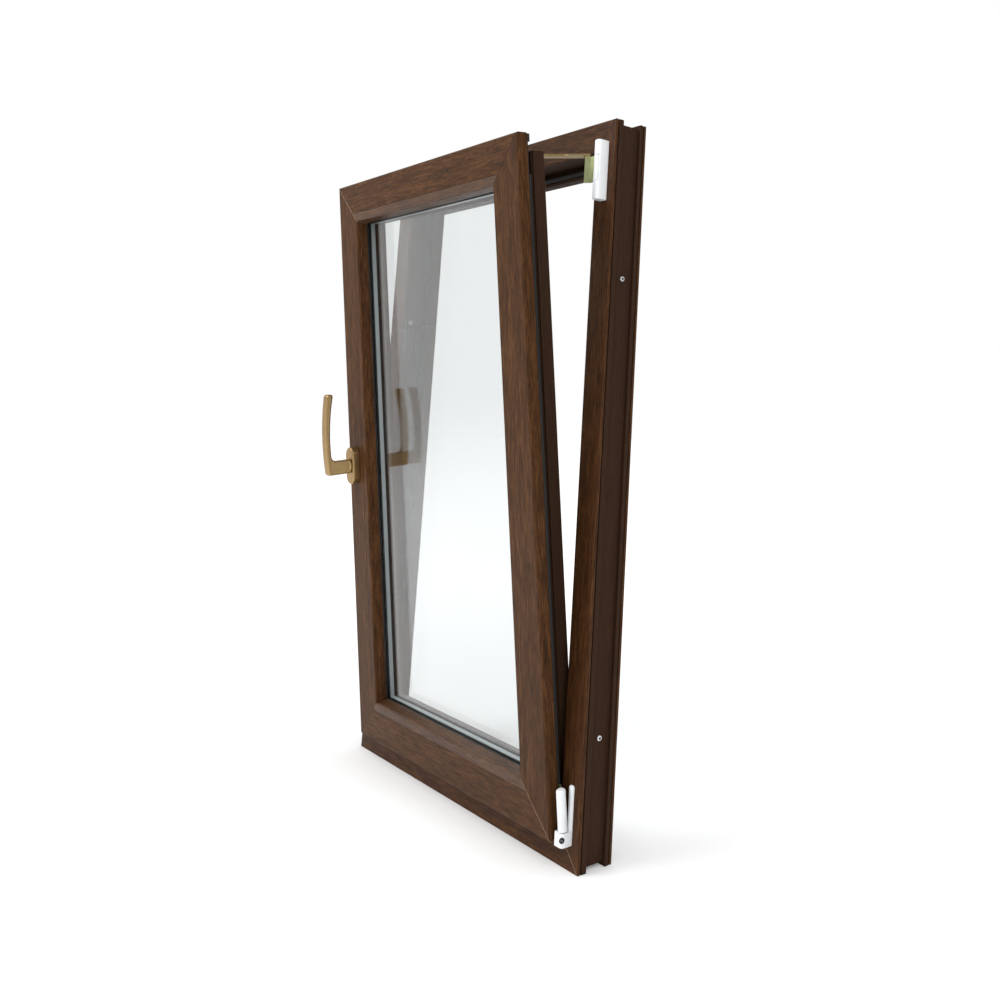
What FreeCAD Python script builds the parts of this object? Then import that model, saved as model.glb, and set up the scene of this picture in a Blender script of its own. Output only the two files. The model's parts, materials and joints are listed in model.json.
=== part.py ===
import FreeCAD, Part
import math
import os
from types import SimpleNamespace

import Sketcher

# Tilt and turn window. X runs along the window, Y from the room to the outside, Z up.
# Every piece is drawn as in the shut window, with Y = 0 on the room face of the fixed frame,
# and is then placed as it stands with the sash tilted open.

DRIVING_SIZES = [
    ("frame_width", 656, "outer width of the fixed frame"),
    ("frame_height", 1040, "outer height of the fixed frame"),
    ("frame_depth", 58, "depth of the frame profile"),
    ("frame_face", 45, "width of the frame's room face"),
    ("upstand_height", 20, "outer rebate leg above the rebate floor"),
    ("front_foot", 15, "width of the room-side foot on the frame's outside"),
    ("rear_foot", 12.5, "width of the weather-side foot on the frame's outside"),
    ("foot_recess", 5.5, "depth of the channel between the two feet"),
    ("claw_width", 2, "width of the clip slot in each foot"),
    ("claw_depth", 4, "depth of the clip slot in each foot"),
    ("claw_inset", 4.5, "distance of each clip slot from the face next to it"),
    ("arris", 1.8, "radius on the long edges of the profiles"),
    ("foot_round", 0.8, "radius on the inner edges of the feet"),
    ("sash_depth", 58, "depth of the sash profile"),
    ("sash_face", 52, "width of the sash's room face, without the bead"),
    ("flange_width", 20, "sash flange beyond the rebate face"),
    ("flange_thick", 17.5, "thickness of the sash flange"),
    ("sash_round", 3, "radius on the outer edge of the sash's room face"),
    ("flange_overlap", 8, "sash flange laid over the frame's face"),
    ("seal_gap", 5, "gap that each seal closes between sash and frame"),
    ("seal_proud", 4, "height of a seal above its groove"),
    ("seal_low", 2.2, "height of the sash seal below the tilt line"),
    ("seal_width", 6, "width of a seal's lip"),
    ("seal_inset", 1, "distance of the sash seal from the flange's edge"),
    ("seal_groove", 3, "width and depth of a seal's groove"),
    ("seal_play", 0.2, "play of a seal's foot in its groove"),
    ("bead_face", 15.5, "width of the glazing bead's face"),
    ("bead_depth", 17, "depth of the glazing bead"),
    ("bead_slope", 3, "lean of the bead towards the glass"),
    ("bead_joint", 0.8, "small bevel at the joint of bead and sash"),
    ("bead_seat", 10, "thickness of the sash wall in front of the bead's foot"),
    ("glass_cover", 20, "depth of the glazing rebate"),
    ("glass_edge", 5, "gap between the glass edge and the rebate floor"),
    ("glass_seal", 3, "thickness of the glazing seals"),
    ("glass_seal_width", 8, "width of the glazing seals"),
    ("pane_thick", 4, "thickness of one pane"),
    ("pane_gap", 12, "gap between the panes"),
    ("spacer_width", 10, "width of the spacer bar with its sealant"),
    ("spacer_show", 1.5, "spacer seen inside the bead's edge"),
    ("lip_rise", 5, "weather lip of the sash above the bead's upper edge"),
    ("drip_slope", 6, "slope on the weather lip of the sash"),
    ("gear_axis", 13, "centre of the gear groove behind the flange"),
    ("groove_width", 12, "width of the gear groove"),
    ("groove_depth", 9.5, "depth of the gear groove below the plate seat"),
    ("plate_width", 16, "width of the gear's faceplate"),
    ("plate_thick", 2.5, "thickness of the gear's faceplate"),
    ("plate_end", 62, "distance of a faceplate's end from the sash corner"),
    ("cam_radius", 5, "radius of a locking cam"),
    ("cam_proud", 5.5, "height of a locking cam above its faceplate"),
    ("cam_offset", 48, "unlocked cam from the middle of its strike plate"),
    ("strike_length", 60, "length of a strike plate"),
    ("strike_width", 16, "width of a strike plate"),
    ("strike_thick", 6, "thickness of a strike plate"),
    ("strike_wall", 2.5, "claws on both sides of a strike plate's channel"),
    ("strike_floor", 2, "floor of a strike plate's channel"),
    ("strike_stop", 12, "closed end of a strike plate's channel"),
    ("strike_front", 3, "strike plate from the frame's room face"),
    ("strike_spacing", 440, "distance between the two lock-side strike plates"),
    ("drain_length", 42, "length of a drain cap"),
    ("drain_height", 12, "height of a drain cap"),
    ("drain_proud", 5, "drain cap in front of the weather face"),
    ("drain_wall", 1.5, "wall of a drain cap"),
    ("drain_bevel", 2, "bevel of a drain cap's hood"),
    ("drain_rise", 14, "drain cap above the frame's underside"),
    ("drain_spacing", 380, "distance between the two drain caps"),
    ("tilt_angle", 7.3, "angle of the tilted sash"),
    ("hinge_inset", 22, "hinge line from the frame's hinge-side edge"),
    ("hinge_front", 11.5, "hinge line in front of the frame's room face"),
    ("tilt_rise", 56, "tilt line above the frame's underside"),
    ("hinge_pin", 2.5, "radius of the hinge pins"),
    ("tilt_pin", 1.5, "radius of the tilt pin"),
    ("pin_play", 0.03, "running clearance round a pin"),
    ("knuckle_radius", 4.8, "radius of the hinge knuckles"),
    ("cap_wall", 1.3, "wall of the white hinge caps"),
    ("cap_bevel", 1, "bevel on the ends of the hinge's white pieces"),
    ("cap_slope", 1.8, "bevel on the lower hinge caps' tops"),
    ("flank_depth", 4, "hinge cap's flank in front of the hinge line"),
    ("flank_round", 5, "radius on the hinge cap's front corner"),
    ("cap_play", 0.3, "gap between neighbouring hinge pieces"),
    ("leaf_thick", 2.4, "thickness of the hinge leaves"),
    ("leaf_root", 3.4, "root of a hinge leaf from the hinge line"),
    ("leaf_gap", 1.2, "room left round the hinge leaves"),
    ("leaf_back", 1.3, "gap between a hinge leaf and the frame's face"),
    ("stay_top", 32, "top of the stay bearing below the frame's top"),
    ("stay_height", 89, "height of the stay bearing"),
    ("stay_knuckle", 39, "height of the stay arm's knuckle"),
    ("stay_knuckle_rise", 27, "stay arm's knuckle above the bearing's lower end"),
    ("stay_plate", 2.5, "thickness of the bearing's plate"),
    ("stay_length", 185, "stay arm from hinge line to slide pin"),
    ("stay_width", 14, "width of the stay arm"),
    ("stay_thick", 2.2, "thickness of the stay arm"),
    ("stiffener_thick", 1.6, "thickness of the stiffener on the stay arm"),
    ("stiffener_length", 78, "length of the stiffener on the stay arm"),
    ("arm_inset", 4, "stay arm's edge from the jamb's rebate"),
    ("stay_lift", 4.5, "stay arm above the sash's rebate face"),
    ("slide_pin", 2, "radius of the stay's slide pins"),
    ("slide_shift", 2.5, "slide pins behind the middle of the gear groove, with the sash tilted"),
    ("slide_reach", 7.5, "slide pins below the sash's rebate face"),
    ("link_pivot", 110, "link rivet from the hinge line"),
    ("link_length", 56, "stay link between its two pins"),
    ("link_width", 11, "width of the stay link"),
    ("link_thick", 2, "thickness of the stay link"),
    ("rivet_radius", 3, "radius of the stay's rivets"),
    ("base_height", 18.7, "height of the pivot bearing's base"),
    ("base_lock_side", 11, "pivot bearing's base from the hinge line to its lock-side face"),
    ("base_hinge_side", 6.7, "pivot bearing's base from the hinge line to its hinge-side face"),
    ("base_round", 5.5, "radius on the base's hinge-side corner"),
    ("base_corner", 1.5, "radius on the base's lock-side corner"),
    ("base_depth", 17, "depth of the pivot bearing's base"),
    ("socket_depth", 9, "depth of the pivot bearing's bore"),
    ("upright_radius", 5.2, "radius of the pivot bearing's half-round upright cover"),
    ("upright_offset", 1.5, "upright's middle from the hinge line"),
    ("upright_sink", 1, "upright's middle behind the frame's face"),
    ("upright_height", 58, "height of the pivot bearing's upright"),
    ("eye_radius", 3, "radius of the pivot post's eye"),
    ("eye_gap", 0.9, "gap under the pivot post's eye"),
    ("barrel_gap", 1.5, "gap between the pivot post's eye and the barrel"),
    ("eye_width", 3, "width of the pivot post's eye"),
    ("fork_wall", 2, "thickness of the corner hinge's fork"),
    ("hinge_height", 47, "height of the corner hinge's barrel"),
    ("skirt_gap", 1.6, "gap between the corner hinge's cover and the base"),
    ("handle_rise", 472, "handle axis above the sash's lower edge"),
    ("rosette_width", 29, "width of the handle's rosette"),
    ("rosette_height", 64, "height of the handle's rosette"),
    ("rosette_thick", 12, "thickness of the handle's rosette"),
    ("rosette_corner", 14, "radius of the rosette's corners"),
    ("rosette_bevel", 1.6, "bevel of the rosette's rim"),
    ("spindle_radius", 9, "radius of the handle's bearing in the rosette"),
    ("spindle_depth", 8, "depth of the handle's bearing in the rosette"),
    ("collar_radius", 12.5, "radius of the collar between neck and rosette"),
    ("collar_thick", 2.4, "thickness of the collar"),
    ("neck_height", 24, "height of the handle's neck"),
    ("grip_reach", 55.7, "farthest line of the grip from the sash's face"),
    ("grip_waist", 48, "farthest line of the grip above the handle axis"),
    ("grip_thick", 9.4, "thickness of the grip at its farthest line"),
    ("grip_bow", 535, "radius of the grip's outer line"),
    ("grip_hollow", 389, "radius of the grip's inner line"),
    ("grip_width", 18, "width of the grip"),
    ("grip_length", 128, "handle axis to the grip's end"),
    ("grip_crook", 9, "radius between neck and grip"),
    ("grip_corner", 4, "radius of the grip's heel and tip"),
    ("grip_bevel", 2.4, "bevel of the lever's long edges"),
]

doc = FreeCAD.newDocument("tilt_turn_window")
sheet = doc.addObject("Spreadsheet::Sheet", "sizes")
for row, (name, value, note) in enumerate(DRIVING_SIZES, start=1):
    sheet.set(f"A{row}", note)
    sheet.set(f"B{row}", str(value))
    sheet.setAlias(f"B{row}", name)
doc.recompute()


class Size:
    """A length that keeps its number and the spreadsheet expression that gives it."""

    def __init__(self, number, text):
        self.number = number
        self.text = text

    def __add__(self, other):
        other = as_size(other)
        return Size(self.number + other.number, f"({self.text} + {other.text})")

    def __sub__(self, other):
        other = as_size(other)
        return Size(self.number - other.number, f"({self.text} - {other.text})")

    def __mul__(self, other):
        other = as_size(other)
        return Size(self.number * other.number, f"({self.text} * {other.text})")

    def __truediv__(self, other):
        other = as_size(other)
        return Size(self.number / other.number, f"({self.text} / {other.text})")

    def __neg__(self):
        return Size(-self.number, f"(-{self.text})")

    def __radd__(self, other):
        return as_size(other) + self

    def __rsub__(self, other):
        return as_size(other) - self

    def __rmul__(self, other):
        return as_size(other) * self


def as_size(value):
    return value if isinstance(value, Size) else Size(float(value), repr(float(value)))


d = SimpleNamespace(**{name: Size(float(sheet.get(name)), f"sizes.{name}") for name, _, _ in DRIVING_SIZES})

# Lines that several pieces share, all in the shut window.
half_width = d.frame_width / 2
margin = d.frame_face - d.flange_overlap
face_gap = d.flange_thick + d.seal_gap
sash_width = d.frame_width - 2 * margin
sash_height = d.frame_height - 2 * margin
sash_top = d.frame_height - margin
sash_right = half_width - margin
flange_back = -d.seal_gap
sash_rear = d.sash_depth - face_gap
rebate_top = sash_top - d.flange_width
rebate_right = sash_right - d.flange_width
sight_line = d.sash_face + d.bead_face
weather_line = sight_line + d.lip_rise
platform = sight_line - d.glass_cover
glass_line = platform + d.glass_edge
gear_line = flange_back + d.gear_axis
pane_inner_front = d.bead_depth + d.glass_seal
pane_outer_front = pane_inner_front + d.pane_thick + d.pane_gap
weather_lip = pane_outer_front + d.pane_thick + d.glass_seal
hinge_x = half_width - d.hinge_inset
hinge_y = -d.hinge_front
cap_inside = d.knuckle_radius + d.cap_play
cap_radius = cap_inside + d.cap_wall
flank_inside = cap_radius + d.cap_play
flank_outside = flank_inside + d.cap_wall


def bind(thing, path, size):
    """Ties a property to the spreadsheet."""
    thing.setExpression(path, as_size(size).text)


def set_spot(block, spot, turn):
    """Puts a block at a bound position."""
    block.Placement = FreeCAD.Placement(FreeCAD.Vector(*(as_size(value).number for value in spot)), turn)
    for path, value in zip("xyz", spot):
        bind(block, f"Placement.Base.{path}", value)


def box(name, low, high):
    """A block between two opposite corners."""
    block = doc.addObject("Part::Box", name)
    for path, axis in (("Length", 0), ("Width", 1), ("Height", 2)):
        bind(block, path, as_size(high[axis]) - as_size(low[axis]))
    set_spot(block, low, FreeCAD.Rotation())
    return block


AXIS_TURN = {
    "x": FreeCAD.Rotation(FreeCAD.Vector(0, 1, 0), 90),
    "y": FreeCAD.Rotation(FreeCAD.Vector(1, 0, 0), -90),
    "z": FreeCAD.Rotation(),
}


def rod(name, axis, start, length, radius):
    """A round bar from a start point along an axis."""
    bar = doc.addObject("Part::Cylinder", name)
    bind(bar, "Radius", radius)
    bind(bar, "Height", length)
    set_spot(bar, start, AXIS_TURN[axis])
    return bar


def fuse(name, pieces):
    joined = doc.addObject("Part::MultiFuse", name)
    joined.Shapes = pieces
    joined.Refine = True
    return joined


def cut(name, base, *tools):
    tool = tools[0] if len(tools) == 1 else fuse(f"{name}_cutter", list(tools))
    rest = doc.addObject("Part::Cut", name)
    rest.Base = base
    rest.Tool = tool
    return rest


def draw_outline(sketch, corners):
    """Draws a closed outline, counter-clockwise. A corner is (across, up) or (across, up, radius)."""
    count = len(corners)
    points = [(as_size(c[0]), as_size(c[1])) for c in corners]
    steps = []
    for index, corner in enumerate(corners):
        here = points[index]
        if len(corner) == 2:
            steps.append((here, None))
            continue
        radius = as_size(corner[2])
        ends = []
        for neighbour in (points[index - 1], points[(index + 1) % count]):
            across = neighbour[0].number - here[0].number
            up = neighbour[1].number - here[1].number
            reach = math.hypot(across, up)
            ends.append((here[0] + radius * (across / reach), here[1] + radius * (up / reach)))
        steps.append((ends[0], radius))
        steps.append((ends[1], None))
    first = sketch.GeometryCount
    for index, (start, radius) in enumerate(steps):
        end = steps[(index + 1) % len(steps)][0]
        a = FreeCAD.Vector(start[0].number, start[1].number, 0)
        b = FreeCAD.Vector(end[0].number, end[1].number, 0)
        if radius is None:
            sketch.addGeometry(Part.LineSegment(a, b), False)
        else:
            bulge = FreeCAD.Vector(b.y - a.y, a.x - b.x, 0)
            centre = (a + b) * 0.5 - bulge * 0.5
            middle = centre + bulge * (radius.number / bulge.Length)
            sketch.addGeometry(Part.Arc(a, middle, b), False)
    total = len(steps)
    for index in range(total):
        following = first + (index + 1) % total
        sketch.addConstraint(Sketcher.Constraint("Coincident", first + index, 2, following, 1))
    for index, (start, radius) in enumerate(steps):
        for kind, value in (("DistanceX", start[0]), ("DistanceY", start[1])):
            place = sketch.addConstraint(Sketcher.Constraint(kind, -1, 1, first + index, 1, value.number))
            bind(sketch, f"Constraints[{place}]", value)
        if radius is not None:
            place = sketch.addConstraint(Sketcher.Constraint("Radius", first + index, radius.number))
            bind(sketch, f"Constraints[{place}]", radius)


def profile(name, corners):
    """A section across a profile: outline in (depth, distance from the outer edge)."""
    sketch = doc.addObject("Sketcher::SketchObject", name)
    sketch.Placement = FreeCAD.Placement(FreeCAD.Vector(), FreeCAD.Rotation(FreeCAD.Vector(1, 1, 1), 120))
    draw_outline(sketch, corners)
    return sketch


def upright(name, corners, low, high):
    """A block with the given plan between two heights."""
    plan = doc.addObject("Sketcher::SketchObject", f"{name}_plan")
    draw_outline(plan, corners)
    bind(plan, "Placement.Base.z", low)
    block = doc.addObject("Part::Extrusion", name)
    block.Base = plan
    block.DirMode = "Custom"
    block.Dir = FreeCAD.Vector(0, 0, 1)
    block.Solid = True
    bind(block, "LengthFwd", high - low)
    return block


TOUCH = 1e-4


def bevel_off(name, base, size, wanted):
    """Bevels the edges whose middle lies where wanted says."""
    doc.recompute()
    bevelled = doc.addObject("Part::Chamfer", name)
    bevelled.Base = base
    bevelled.Edges = [
        (index, size.number, size.number)
        for index, edge in enumerate(base.Shape.Edges, start=1)
        if wanted(edge.CenterOfMass)
    ]
    return bevelled


def mitred_bar(name, section, length):
    """A bar of the given section along X, cut at 45 degrees at both ends."""
    bar = doc.addObject("Part::Extrusion", f"{name}_bar")
    bar.Base = section
    bar.DirMode = "Custom"
    bar.Dir = FreeCAD.Vector(1, 0, 0)
    bar.Solid = True
    bar.Symmetric = True
    bind(bar, "LengthFwd", length)
    reach = 2 * length
    rise = reach * (math.sqrt(0.5) / 2)
    cutters = []
    for side, turn in ((1, 45), (-1, -45)):
        cutter = doc.addObject("Part::Box", f"{name}_mitre{side + 2}")
        for path in ("Length", "Width", "Height"):
            bind(cutter, path, reach)
        spot = (side * length / 2 - rise, -reach / 2, side * rise)
        set_spot(cutter, spot, FreeCAD.Rotation(FreeCAD.Vector(0, 1, 0), turn))
        cutters.append(cutter)
    return cut(name, bar, *cutters)


# Where each body stands. The sash leans into the room about the tilt line, and the stay swings with it.
# The part's origin is on the underside of the sill, in the middle of the room-side foot's broad land.
tilt = d.tilt_angle.number
tilt_line = FreeCAD.Vector(0, hinge_y.number, d.tilt_rise.number)
hinge_line = FreeCAD.Vector(hinge_x.number, hinge_y.number, 0)
foot_land = (d.front_foot + d.claw_inset + d.claw_width) / 2
origin_shift = FreeCAD.Placement(FreeCAD.Vector(0, -foot_land.number, 0), FreeCAD.Rotation())
lean = FreeCAD.Placement(FreeCAD.Vector(), FreeCAD.Rotation(FreeCAD.Vector(1, 0, 0), tilt), tilt_line)


def slide_depth_when_tilted():
    """Depth of the slide pins in the gear groove at the sash's top edge, with the sash leaning."""
    top = FreeCAD.Vector(0, gear_line.number, rebate_top.number)
    return lean.multVec(top).y + d.slide_shift.number


def reach_angle(length, depth):
    """Angle of an arm of this length that ends at this depth in front of its pivot."""
    return math.degrees(math.asin(depth / length))


stay_shut = reach_angle(d.stay_length.number, hinge_y.number - gear_line.number)
stay_open = reach_angle(d.stay_length.number, hinge_y.number - slide_depth_when_tilted())
stay_swing = stay_open - stay_shut
swing = FreeCAD.Placement(FreeCAD.Vector(), FreeCAD.Rotation(FreeCAD.Vector(0, 0, 1), stay_swing), hinge_line)

link_rivet_x = hinge_x - d.link_pivot
link_rivet = FreeCAD.Vector(link_rivet_x.number, gear_line.number, 0)
rivet_tilted = swing.multVec(link_rivet)
link_open = reach_angle(d.link_length.number, rivet_tilted.y - slide_depth_when_tilted())
link_turn = FreeCAD.Placement(
    FreeCAD.Vector(), FreeCAD.Rotation(FreeCAD.Vector(0, 0, 1), -link_open - stay_swing), link_rivet
)

STANDS = {
    "frame": origin_shift,
    "pivot": origin_shift,
    "sash": origin_shift.multiply(lean),
    "handle": origin_shift.multiply(lean),
    "stay": origin_shift.multiply(swing),
    "link": origin_shift.multiply(swing).multiply(link_turn),
}
subparts = []


def finish(piece, label, body, local=None):
    """Names a sub-part and sets it where its body stands."""
    piece.Label = label
    for path in "xyz":
        piece.setExpression(f"Placement.Base.{path}", None)
    piece.Placement = STANDS[body].multiply(local or piece.Placement)
    subparts.append(piece)


def side_placement(side, low_x, high_x, low_z, high_z, depth):
    """Turns a bar drawn along X, outer edge down, to one side of a rectangle."""
    turn = {"bottom": 0, "left": 90, "top": 180, "right": -90}[side]
    centre_x = (low_x + high_x).number / 2
    centre_z = (low_z + high_z).number / 2
    spot = {
        "bottom": (centre_x, as_size(low_z).number),
        "top": (centre_x, as_size(high_z).number),
        "left": (as_size(low_x).number, centre_z),
        "right": (as_size(high_x).number, centre_z),
    }[side]
    place = FreeCAD.Vector(spot[0], as_size(depth).number, spot[1])
    return FreeCAD.Placement(place, FreeCAD.Rotation(FreeCAD.Vector(0, 1, 0), turn))


# Fixed frame: one section, mitred at the four corners. Two feet with clip slots face the wall.
upstand_top = d.frame_face + d.upstand_height
upstand_front = sash_rear + d.seal_gap
frame_seal_low = d.frame_face + d.upstand_height / 2
frame_section = profile("frame_section", [
    (0, 0, d.arris),
    (d.claw_inset, 0),
    (d.claw_inset, d.claw_depth),
    (d.claw_inset + d.claw_width, d.claw_depth),
    (d.claw_inset + d.claw_width, 0),
    (d.front_foot, 0, d.foot_round),
    (d.front_foot, d.foot_recess),
    (d.frame_depth - d.rear_foot, d.foot_recess),
    (d.frame_depth - d.rear_foot, 0, d.foot_round),
    (d.frame_depth - d.claw_inset - d.claw_width, 0),
    (d.frame_depth - d.claw_inset - d.claw_width, d.claw_depth),
    (d.frame_depth - d.claw_inset, d.claw_depth),
    (d.frame_depth - d.claw_inset, 0),
    (d.frame_depth, 0, d.arris),
    (d.frame_depth, upstand_top, d.arris),
    (upstand_front, upstand_top),
    (upstand_front, frame_seal_low + d.seal_groove),
    (upstand_front + d.seal_groove, frame_seal_low + d.seal_groove),
    (upstand_front + d.seal_groove, frame_seal_low),
    (upstand_front, frame_seal_low),
    (upstand_front, d.frame_face),
    (0, d.frame_face, d.arris),
])
FRAME_SIDES = {"head": "top", "sill": "bottom", "jamb_left": "left", "jamb_right": "right"}
for member, side in FRAME_SIDES.items():
    length = d.frame_width if side in ("top", "bottom") else d.frame_height
    bar = mitred_bar(f"frame_{member}", frame_section, length)
    local = side_placement(side, -half_width, half_width, as_size(0), d.frame_height, 0)
    finish(bar, f"frame_{member}", "frame", local)


def ring(name, low_x, high_x, low_z, high_z, width, front, back):
    """A rectangular ring between two depths."""
    outer = box(f"{name}_outer", (low_x, front, low_z), (high_x, back, high_z))
    inner = box(
        f"{name}_inner",
        (low_x + width, front, low_z + width),
        (high_x - width, back, high_z - width),
    )
    return cut(name, outer, inner)


def seal_ring(name, low_x, high_x, low_z, high_z, groove_face, way):
    """A seal: a lip in front of its groove, and a foot inside it. The lip points to way."""
    foot_start = (d.seal_width - d.seal_groove) / 2 + d.seal_play
    foot_width = d.seal_groove - 2 * d.seal_play
    lip_end = groove_face + way * d.seal_proud
    foot_end = groove_face - way * (d.seal_groove - d.seal_play)
    lip_span = (groove_face, lip_end) if way > 0 else (lip_end, groove_face)
    foot_span = (foot_end, groove_face) if way > 0 else (groove_face, foot_end)
    lip = ring(f"{name}_lip", low_x, high_x, low_z, high_z, d.seal_width, *lip_span)
    foot = ring(
        f"{name}_foot",
        low_x + foot_start,
        high_x - foot_start,
        low_z + foot_start,
        high_z - foot_start,
        foot_width,
        *foot_span,
    )
    return fuse(name, [lip, foot])


frame_seal_edge = frame_seal_low - (d.seal_width - d.seal_groove) / 2
frame_gasket = seal_ring(
    "frame_gasket_ring",
    frame_seal_edge - half_width,
    half_width - frame_seal_edge,
    frame_seal_edge,
    d.frame_height - frame_seal_edge,
    upstand_front,
    -1,
)
finish(frame_gasket, "frame_gasket", "frame")

# Sash: one section with a flange over the frame, a gear groove and a glazing rebate.
sash_seal_groove = d.seal_inset + (d.seal_width - d.seal_groove) / 2
gear_depth = d.flange_thick + d.gear_axis
sash_section = profile("sash_section", [
    (0, 0, d.sash_round),
    (d.flange_thick, 0, d.arris),
    (d.flange_thick, sash_seal_groove),
    (d.flange_thick - d.seal_groove, sash_seal_groove),
    (d.flange_thick - d.seal_groove, sash_seal_groove + d.seal_groove),
    (d.flange_thick, sash_seal_groove + d.seal_groove),
    (d.flange_thick, d.flange_width),
    (gear_depth - d.plate_width / 2, d.flange_width),
    (gear_depth - d.plate_width / 2, d.flange_width + d.plate_thick),
    (gear_depth - d.groove_width / 2, d.flange_width + d.plate_thick),
    (gear_depth - d.groove_width / 2, d.flange_width + d.plate_thick + d.groove_depth),
    (gear_depth + d.groove_width / 2, d.flange_width + d.plate_thick + d.groove_depth),
    (gear_depth + d.groove_width / 2, d.flange_width + d.plate_thick),
    (gear_depth + d.plate_width / 2, d.flange_width + d.plate_thick),
    (gear_depth + d.plate_width / 2, d.flange_width),
    (d.sash_depth, d.flange_width, d.arris),
    (d.sash_depth, weather_line - d.drip_slope),
    (weather_lip + d.arris, weather_line),
    (weather_lip, weather_line),
    (weather_lip, platform),
    (d.bead_seat, platform),
    (d.bead_seat, d.sash_face),
    (0, d.sash_face),
])
bead_section = profile("bead_section", [
    (d.bead_seat, platform),
    (d.bead_depth, platform),
    (d.bead_depth, sight_line + d.bead_slope),
    (d.arris, sight_line),
    (0, sight_line - d.arris),
    (0, d.sash_face + d.bead_joint),
    (d.bead_joint, d.sash_face),
    (d.bead_seat, d.sash_face),
])
SASH_SIDES = {"rail_top": "top", "rail_bottom": "bottom", "stile_left": "left", "stile_right": "right"}
for member, side in SASH_SIDES.items():
    length = sash_width if side in ("top", "bottom") else sash_height
    local = side_placement(side, -sash_right, sash_right, margin, sash_top, -face_gap)
    finish(mitred_bar(f"sash_{member}", sash_section, length), f"sash_{member}", "sash", local)
    finish(mitred_bar(f"bead_{side}_strip", bead_section, length), f"bead_{side}", "sash", local)


def sash_ring(name, inset, width, front, back):
    """A ring in the sash: inset from its edge, depths from its room face."""
    return ring(
        name,
        inset - sash_right,
        sash_right - inset,
        margin + inset,
        sash_top - inset,
        width,
        front - face_gap,
        back - face_gap,
    )


def pane(name, front):
    return box(
        name,
        (glass_line - sash_right, front - face_gap, margin + glass_line),
        (sash_right - glass_line, front + d.pane_thick - face_gap, sash_top - glass_line),
    )


# Double glazing: two panes on a spacer, held between soft seals.
finish(pane("pane_inner", pane_inner_front), "glass_pane_inner", "sash")
finish(pane("pane_outer", pane_outer_front), "glass_pane_outer", "sash")
bead_edge = sight_line + d.bead_slope
spacer = sash_ring(
    "spacer_ring",
    bead_edge + d.spacer_show - d.spacer_width,
    d.spacer_width,
    pane_inner_front + d.pane_thick,
    pane_outer_front,
)
finish(spacer, "glass_spacer", "sash")
inner_seal = sash_ring(
    "inner_seal", bead_edge - d.glass_seal_width, d.glass_seal_width, d.bead_depth, pane_inner_front
)
finish(inner_seal, "glazing_gasket_inner", "sash")
outer_seal = sash_ring(
    "outer_seal",
    weather_line - d.glass_seal_width,
    d.glass_seal_width,
    pane_outer_front + d.pane_thick,
    weather_lip,
)
finish(outer_seal, "glazing_gasket_outer", "sash")

# Hinge heights that the sash seal, the bearings and the stay share.
stay_bearing_top = d.frame_height - d.stay_top
stay_bearing_low = stay_bearing_top - d.stay_height
knuckle_low = stay_bearing_low + d.stay_knuckle_rise
knuckle_high = knuckle_low + d.stay_knuckle
stay_low = rebate_top + d.stay_lift
stay_high = stay_low + d.stay_thick
base_top = d.tilt_rise - d.eye_radius - d.eye_gap
base_low = base_top - d.base_height
barrel_low = d.tilt_rise + d.eye_radius + d.barrel_gap
barrel_high = barrel_low + d.hinge_height
leaf_front = -d.leaf_back - d.leaf_thick

# Sash seal: a ring on the flange, left out where the two hinge leaves pass behind the flange.
# Its lip is lower below the tilt line, where the sash leans towards the frame.
whole_seal = seal_ring(
    "sash_seal",
    d.seal_inset - sash_right,
    sash_right - d.seal_inset,
    margin + d.seal_inset,
    sash_top - d.seal_inset,
    flange_back,
    1,
)
leaf_side = sash_right - d.flange_width
low_gap = box(
    "low_seal_gap",
    (leaf_side, -face_gap, barrel_low - d.leaf_gap),
    (half_width, d.frame_depth, barrel_high + d.leaf_gap),
)
high_gap = box(
    "high_seal_gap",
    (leaf_side, -face_gap, knuckle_low - d.leaf_gap),
    (half_width, d.frame_depth, stay_high + d.leaf_gap),
)
low_trim = box(
    "low_seal_trim",
    (-half_width, flange_back + d.seal_low, margin),
    (half_width, d.frame_depth, d.tilt_rise),
)
finish(cut("sash_seal_cut", whole_seal, low_gap, high_gap, low_trim), "sash_gasket", "sash")

# Gear on the sash's edges: faceplates in the groove's seat, and locking cams.
plate_front = gear_line - d.plate_width / 2
plate_back = gear_line + d.plate_width / 2
stay_slot = hinge_x - d.stay_length - d.stay_width
left_plate = box(
    "left_plate",
    (d.flange_width - sash_right, plate_front, margin + d.plate_end),
    (d.flange_width + d.plate_thick - sash_right, plate_back, sash_top - d.plate_end),
)
finish(left_plate, "gear_faceplate_left", "sash")
top_plate = box(
    "top_plate",
    (d.plate_end - sash_right, plate_front, rebate_top - d.plate_thick),
    (stay_slot, plate_back, rebate_top),
)
finish(top_plate, "gear_faceplate_top", "sash")
low_edge = margin + d.flange_width
low_plate = box(
    "low_plate",
    (d.plate_end - sash_right, plate_front, low_edge),
    (sash_right - d.plate_end, plate_back, low_edge + d.plate_thick),
)
finish(low_plate, "gear_faceplate_bottom", "sash")


def strike(name, low, high, channel_low, channel_high):
    """A strike plate with a channel for the cam between two claws."""
    return cut(name, box(f"{name}_plate", low, high), box(f"{name}_channel", channel_low, channel_high))


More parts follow.
